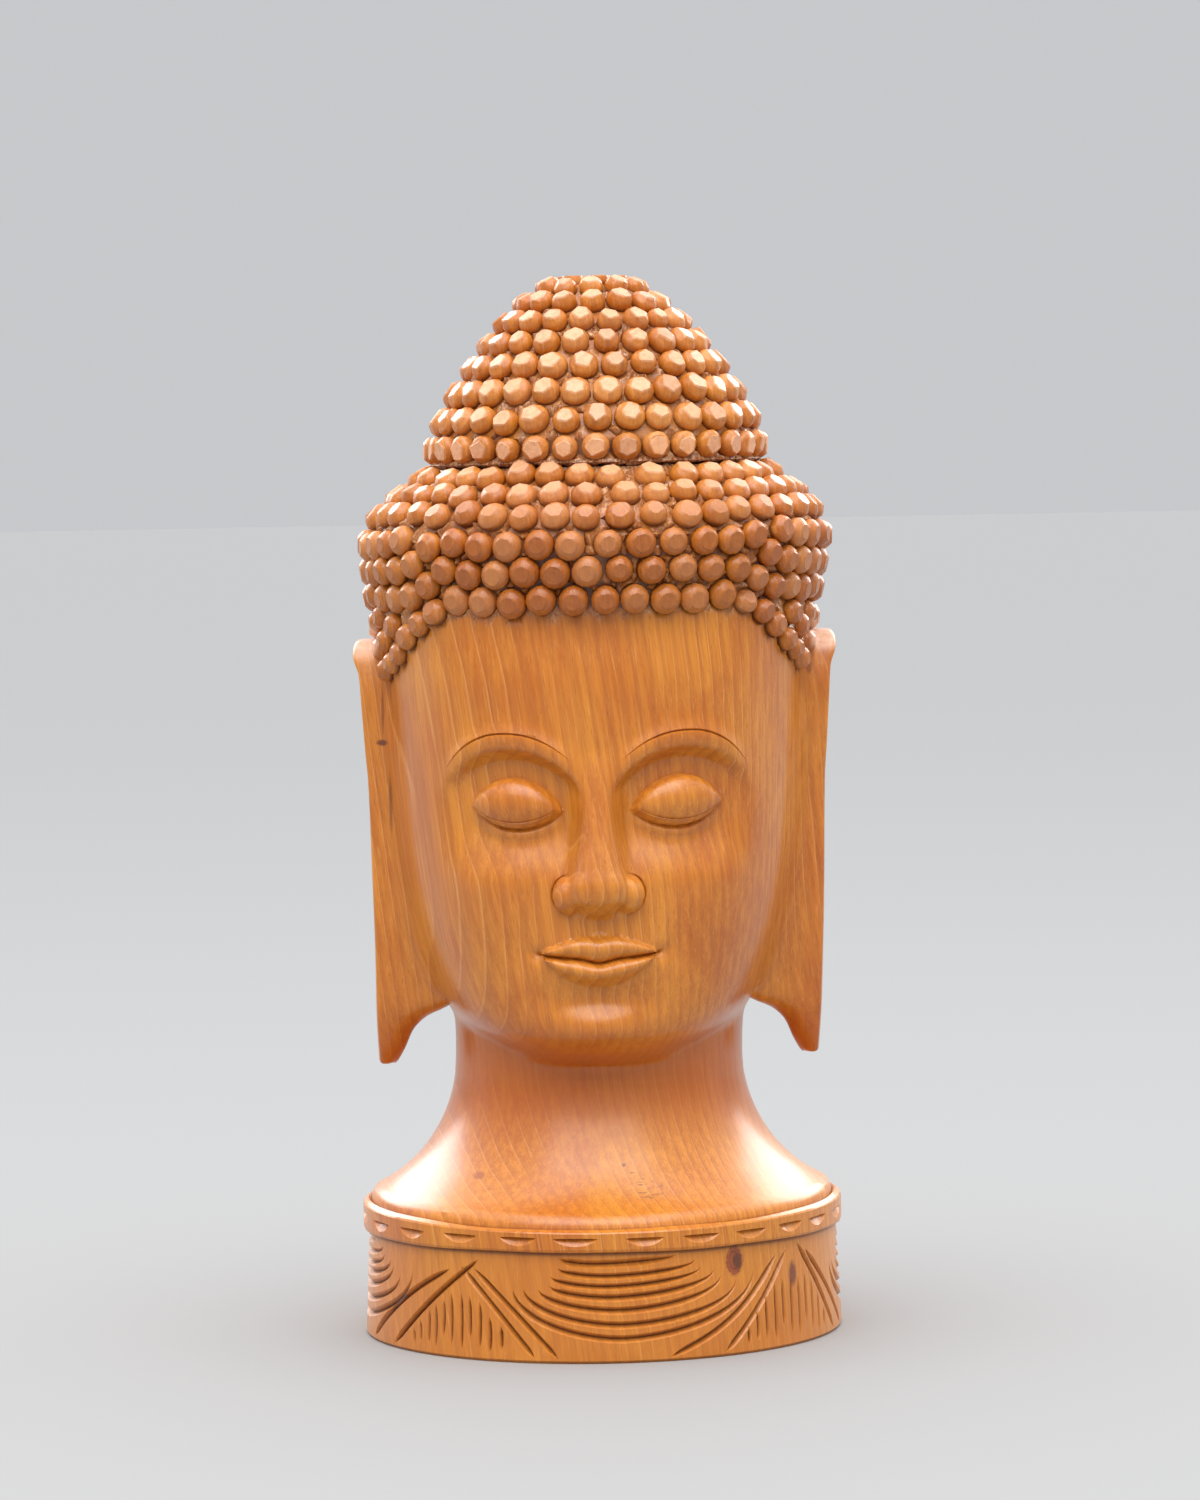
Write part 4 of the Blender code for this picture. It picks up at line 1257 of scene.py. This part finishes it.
def mapped(where, scale=(1, 1, 1), turn=(0, 0, 0), shift=(0, 0, 0)):
    n = make("ShaderNodeMapping")
    feed(n.inputs["Vector"], where)
    n.inputs["Scale"].default_value = scale
    n.inputs["Rotation"].default_value = turn
    n.inputs["Location"].default_value = shift
    return n.outputs["Vector"]


def painted(name):
    n = make("ShaderNodeAttribute", attribute_type="GEOMETRY")
    n.attribute_name = name
    return n.outputs["Fac"]


here = make("ShaderNodeTexCoord").outputs["Object"]
P = mapped(here, (1000, 1000, 1000))
xyz = make("ShaderNodeSeparateXYZ")
feed(xyz.inputs[0], P)
X, Y, Z = xyz.outputs
# the log's fibre leans a little across the figure
fibre_dir = mapped(P, (1, 1, 1), (0.05, 0.135, 0.0))
drift = noise(mapped(P, (0.018, 0.018, 0.007)), 1.0, 3.0, 0.5)
wander = make("ShaderNodeTexNoise")
feed(wander.inputs["Vector"], mapped(P, (0.03, 0.03, 0.011)))
wander.inputs["Scale"].default_value = 1.0
wander.inputs["Detail"].default_value = 2.0
sway = vec("MULTIPLY", vec("SUBTRACT", wander.outputs["Color"], (0.5, 0.5, 0.5)), (2.6, 2.6, 0.0))
log = vec("ADD", fibre_dir, sway)
flat_log = vec("MULTIPLY", vec("SUBTRACT", log, (84.0, 5.0, 0.0)), (1.0, 1.0, 0.0))
from_pith = vec("LENGTH", flat_log)
year = math_("FRACT", math_("ADD", math_("MULTIPLY", from_pith, 0.45), math_("MULTIPLY", drift, 0.8)))
late = ramp(year, 0.35, 0.97)
pale_line = math_("MULTIPLY", ramp(year, 0.0, 0.04), ramp(year, 0.15, 0.05))
streak = noise(mapped(log, (0.85, 0.85, 0.022)), 1.0, 6.0, 0.62)
hairs = noise(mapped(log, (3.4, 3.4, 0.075)), 1.0, 4.0, 0.6)
flecks = noise(mapped(log, (5.2, 5.2, 0.34)), 1.0, 2.0, 0.5)
cloud = noise(mapped(P, (0.036, 0.036, 0.020)), 1.0, 4.0, 0.55, 0.8)
fine = noise(P, 2.1, 5.0, 0.65)
grit = noise(P, 0.9, 4.0, 0.7)

tone_a = blend(ramp(streak, 0.34, 0.68), (0.46, 0.120, 0.009), (0.70, 0.245, 0.024))
tone_b = blend(ramp(cloud, 0.36, 0.66), (0.49, 0.122, 0.010), (0.68, 0.255, 0.024))
col = blend(0.5, tone_a, tone_b)
col = blend(math_("MULTIPLY", late, 0.30), col, (0.36, 0.095, 0.014))
veil = ramp(noise(mapped(P, (0.05, 0.05, 0.02)), 1.0, 2.0), 0.42, 0.62)
col = blend(math_("MULTIPLY", math_("MULTIPLY", pale_line, veil), 0.26), col, (0.80, 0.42, 0.16))
col = blend(math_("MULTIPLY", ramp(hairs, 0.56, 0.74), 0.34), col, (0.80, 0.40, 0.13))
col = blend(math_("MULTIPLY", ramp(hairs, 0.44, 0.28), 0.34), col, (0.26, 0.058, 0.008))
col = blend(math_("MULTIPLY", ramp(flecks, 0.63, 0.74), 0.40), col, (0.17, 0.040, 0.008))
# the drum a little yellower
drum_zone = ramp(Z, 21.4, 19.8)
col = blend(math_("MULTIPLY", drum_zone, 0.35), col, (0.64, 0.235, 0.030))
# a redder cast of the wood with painted shade round the neck and under the jaw
neck_red_and_shade = math_("MULTIPLY", ramp(Z, 36.0, 48.0), ramp(Z, 66.0, 54.0))
col = blend(math_("MULTIPLY", neck_red_and_shade, 0.6), col, (0.46, 0.095, 0.009))


def mark(centre, size, colour, strength, col, soft=0.55, turn=(0, 0, 0)):
    d = vec("SUBTRACT", P, centre)
    d = mapped(d, tuple(1.0 / v for v in size), turn)
    r = math_("ADD", vec("LENGTH", d), math_("MULTIPLY", math_("SUBTRACT", fine, 0.5), 0.55))
    spot = ramp(r, 1.0, 1.0 - soft)
    return blend(math_("MULTIPLY", spot, strength), col, colour), spot


# knots, bark flecks and scratches
DEEP, RED = (0.13, 0.028, 0.008), (0.30, 0.062, 0.016)
knot_rings = math_("FRACT", math_("MULTIPLY", vec("LENGTH", mapped(vec("SUBTRACT", P, (24.8, -38.3, 17.8)),
                                                            (1.0, 1.0, 0.6))), 1.7))
col, knot = mark((24.8, -38.3, 17.7), (2.2, 2.8, 3.3), RED, 0.94, col, 0.34)
col = blend(math_("MULTIPLY", math_("MULTIPLY", knot, ramp(knot_rings, 0.55, 0.9)), 0.6), col, DEEP)
for centre, size, colour, strength in (
    ((25.3, -38.0, 17.6), (1.35, 2.0, 2.4), (0.10, 0.030, 0.012), 0.82),
    ((35.8, -28.0, 13.6), (1.2, 1.8, 3.1), (0.17, 0.038, 0.012), 0.9),
    ((-40.2, -8.6, 114.1), (1.6, 2.4, 0.8), DEEP, 0.9),
    ((-38.9, -8.0, 103.3), (0.55, 3.2, 8.5), DEEP, 0.62),
    ((-40.1, -8.8, 120.0), (0.4, 2.4, 5.5), DEEP, 0.55),
    ((41.4, -8.9, 127.2), (0.8, 1.8, 1.9), DEEP, 0.6),
    ((-23.2, -27.6, 33.2), (1.9, 1.9, 1.0), RED, 0.7),
    ((-28.0, -15.9, 40.4), (0.8, 1.4, 0.7), RED, 0.55),
    ((4.3, -33.7, 35.4), (0.5, 1.0, 0.4), DEEP, 0.8),
    ((24.0, 38.0, 33.0), (1.6, 2.2, 1.3), RED, 0.6),
    ((-33.0, 30.5, 11.5), (1.6, 2.0, 2.4), RED, 0.7),
    ((37.5, 8.0, 66.0), (2.5, 1.2, 2.4), RED, 0.45),
):
    col, _ = mark(centre, size, colour, strength, col)
for centre, size, lean in (
    ((5.9, -34.9, 34.0), (0.9, 1.6, 0.22), 0.62), ((7.7, -35.9, 32.9), (1.1, 1.6, 0.26), 0.5),
    ((7.4, -36.3, 31.9), (0.7, 1.5, 0.2), 0.8), ((9.8, -36.7, 31.9), (1.2, 1.6, 0.24), 0.45),
    ((11.9, -37.0, 31.0), (1.0, 1.6, 0.2), 0.6), ((13.6, -37.4, 30.2), (1.2, 1.6, 0.22), 0.4),
):
    col, _ = mark(centre, size, (0.15, 0.045, 0.014), 0.72, col, 0.7, (0.0, -lean, 0.0))
scuff_at = mapped(vec("SUBTRACT", P, (9.3, -36.8, 31.4)), (1 / 5.2, 1 / 3.4, 1 / 3.2), (0.0, 0.0, 0.0))
scuff = ramp(vec("LENGTH", scuff_at), 1.0, 0.5)
scratch = ramp(noise(mapped(P, (0.45, 0.45, 1.5), (0.0, 0.6, 0.3)), 1.5, 3.0, 0.75), 0.53, 0.60)
col = blend(math_("MULTIPLY", math_("MULTIPLY", scuff, scratch), 0.62), col, (0.17, 0.05, 0.014))

# carved places: painted shade (with some stain) in the cuts and round the curls, raw pale wood where chips broke away
shade_and_stain_at = painted("cavity")
ground_at = painted("ground")
facet_at = painted("facet")
tone_at = painted("tone")
raised = ramp(Z, 148.0, 172.0)
curl_here = ramp(facet_at, 0.02, 0.3)
# the curls darker and redder on the lower rows
col = blend(math_("MULTIPLY", curl_here, ramp(raised, 0.0, 1.0, 0.42, 0.05)), col, (0.35, 0.085, 0.010))
# the curls' flats: raw end grain, paler on the higher rows with painted light where they face the sky, darker on the
# lower rows
cut_face = math_("MULTIPLY", ramp(facet_at, 0.86, 0.98), ramp(grit, 0.30, 0.62, 0.55, 1.0))
col = blend(math_("MULTIPLY", cut_face, ramp(raised, 0.1, 1.0, 0.0, 0.82)), col, (0.82, 0.44, 0.25))
rough_cut = ramp(noise(mapped(P, (1.5, 1.5, 0.7)), 1.0, 5.0, 0.75), 0.40, 0.62)
low_flat = math_("MULTIPLY", cut_face, ramp(raised, 0.0, 0.8, 0.42, 0.0))
col = blend(low_flat, col, (0.27, 0.066, 0.010))
chip_col = blend(rough_cut, (0.25, 0.060, 0.012), (0.84, 0.49, 0.26))
col = blend(math_("MULTIPLY", ground_at, ramp(raised, 0.0, 1.0, 0.45, 0.88)), col, chip_col)
facing = make("ShaderNodeSeparateXYZ")
feed(facing.inputs[0], make("ShaderNodeNewGeometry").outputs["Normal"])
# painted shade: the shade and stain are stronger where the surface faces down
under = ramp(facing.outputs["Z"], 0.45, -0.25, 0.42, 1.0)
shade_stain_mix = math_("MULTIPLY", ramp(shade_and_stain_at, 0.12, 0.95), ramp(fine, 0.25, 0.6, 0.72, 0.95))
shade_stain_mix = math_("MULTIPLY", shade_stain_mix, under)
col = blend(shade_stain_mix, col, (0.085, 0.019, 0.005))
col = blend(math_("ABSOLUTE", tone_at), col,
            blend(ramp(tone_at, -0.02, 0.02), (0.24, 0.052, 0.010), (0.80, 0.40, 0.17)))
# sawn end grain on the ears' tops and on the crown
tab = math_("MULTIPLY", ramp(Z, 129.5, 132.6), ramp(math_("ABSOLUTE", math_("SUBTRACT", X, 0.5)), 40.8, 42.2))
tab = math_("MULTIPLY", tab, ramp(Z, 137.0, 135.5))
col = blend(math_("MULTIPLY", tab, ramp(grit, 0.3, 0.65, 0.55, 0.9)), col, (0.84, 0.52, 0.36))

feed(shader.inputs["Base Color"], col)
shine = math_("ADD", 0.30, math_("MULTIPLY", hairs, 0.14))
shine = math_("ADD", shine, math_("MULTIPLY", ramp(cloud, 0.35, 0.65), 0.08))
shine = math_("ADD", shine, math_("MULTIPLY", math_("MAXIMUM", ground_at, shade_and_stain_at), 0.38))
shine = math_("ADD", shine, math_("MULTIPLY", math_("MAXIMUM", facet_at, tab), 0.14), clamp=True)
feed(shader.inputs["Roughness"], shine)
shader.inputs["Coat Weight"].default_value = 0.75
shader.inputs["Coat Roughness"].default_value = 0.26
shader.inputs["Specular IOR Level"].default_value = 0.20

skin_bump = make("ShaderNodeBump")
skin_bump.inputs["Strength"].default_value = 0.35
skin_bump.inputs["Distance"].default_value = 0.00012
grain_h = math_("ADD", math_("MULTIPLY", hairs, 0.7), math_("MULTIPLY", ramp(flecks, 0.74, 0.60), 0.6))
grain_h = math_("ADD", grain_h, math_("MULTIPLY", fine, 0.25))
feed(skin_bump.inputs["Height"], grain_h)
chip_bump = make("ShaderNodeBump")
chip_bump.inputs["Distance"].default_value = 0.0005
feed(chip_bump.inputs["Strength"], math_("ADD", math_("MULTIPLY", ground_at, 0.8),
                                         math_("MULTIPLY", curl_here, 0.34)))
feed(chip_bump.inputs["Height"], math_("ADD", math_("MULTIPLY", rough_cut, 0.5), grit))
feed(chip_bump.inputs["Normal"], skin_bump.outputs["Normal"])
feed(shader.inputs["Normal"], chip_bump.outputs["Normal"])

mesh.materials.clear()
mesh.materials.append(wood)

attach(body, "root")
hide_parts("carved_head")

# ------------------------------------------------------- floor, light, camera
floor_mesh = bpy.data.meshes.new("floor")
FLOOR = 14.0
floor_mesh.from_pydata([(-FLOOR, -FLOOR, 0), (FLOOR, -FLOOR, 0), (FLOOR, FLOOR, 0), (-FLOOR, FLOOR, 0)],
                       [], [(0, 1, 2, 3)])
floor = bpy.data.objects.new("floor", floor_mesh)
bpy.context.scene.collection.objects.link(floor)
pale = bpy.data.materials.new("pale_floor")
pale.use_nodes = True
pale.node_tree.nodes["Principled BSDF"].inputs["Base Color"].default_value = (0.455, 0.452, 0.445, 1)
pale.node_tree.nodes["Principled BSDF"].inputs["Roughness"].default_value = 0.8
floor_mesh.materials.append(pale)
floor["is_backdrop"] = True

bpy.context.scene.view_settings.view_transform = "Standard"
world = bpy.data.worlds.new("studio")
bpy.context.scene.world = world
world.use_nodes = True
wt = world.node_tree
sky_dir = wt.nodes.new("ShaderNodeTexCoord")
sky_xyz = wt.nodes.new("ShaderNodeSeparateXYZ")
wt.links.new(sky_dir.outputs["Generated"], sky_xyz.inputs[0])
# dim in front, brighter above and behind
sky_parts = []
for axis, lo, hi, to_lo, to_hi in (("Z", 0.12, 0.9, 0.42, 1.6), ("Y", -0.2, 0.95, 0.0, 0.18)):
    part = wt.nodes.new("ShaderNodeMapRange")
    wt.links.new(sky_xyz.outputs[axis], part.inputs["Value"])
    for name, v in (("From Min", lo), ("From Max", hi), ("To Min", to_lo), ("To Max", to_hi)):
        part.inputs[name].default_value = v
    sky_parts.append(part)
sky_sum = wt.nodes.new("ShaderNodeMath")
sky_sum.operation = "ADD"
for k2, part in enumerate(sky_parts):
    wt.links.new(part.outputs["Result"], sky_sum.inputs[k2])
wt.links.new(sky_sum.outputs[0], wt.nodes["Background"].inputs["Strength"])
wt.nodes["Background"].inputs["Color"].default_value = (0.95, 0.97, 1.0, 1)


def lamp(name, where, size, power, target=(0, 0, 0.1), colour=(1, 1, 1)):
    data = bpy.data.lights.new(name, "AREA")
    data.shape = "RECTANGLE"
    data.size, data.size_y = size
    data.energy = power
    data.color = colour
    obj = bpy.data.objects.new(name, data)
    bpy.context.scene.collection.objects.link(obj)
    obj.location = where
    obj.visible_camera = False
    obj.rotation_euler = (Vector(target) - Vector(where)).to_track_quat("-Z", "Y").to_euler()
    return obj


figure_light = bpy.data.collections.new("figure_light")
figure_light.objects.link(body)
lamp("above", (0.0, -0.30, 1.5), (1.3, 1.0), 9)
for here_lamp in (
    lamp("key", (-0.08, -1.02, 1.34), (1.7, 1.0), 16),
    lamp("left_strip", (-0.85, 0.25, 0.35), (0.3, 0.9), 0.3, (0, 0, 0.08)),
    lamp("right_strip", (0.85, 0.2, 0.35), (0.3, 0.9), 0.3, (0, 0, 0.08)),
    lamp("behind_left", (-0.8, 1.0, 0.72), (0.9, 0.7), 12, (0, 0, 0.04)),
    lamp("behind_right", (0.8, 1.0, 0.72), (0.9, 0.7), 12, (0, 0, 0.04)),
):
    here_lamp.light_linking.receiver_collection = figure_light

cam_data = bpy.data.cameras.new("camera")
cam = bpy.data.objects.new("camera", cam_data)
bpy.context.scene.collection.objects.link(cam)
cam_data.lens = 128.7
cam_data.sensor_width = 36.0
cam_data.clip_start = 0.05
cam_data.clip_end = 20.0
cam.location = (0.00124, -1.032, 0.167)
cam.rotation_euler = (Matrix.Rotation(math.radians(90 - 3.08), 3, "X")
                      @ Matrix.Rotation(-0.018, 3, "Z")).to_euler()
bpy.context.scene.camera = cam

low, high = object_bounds()
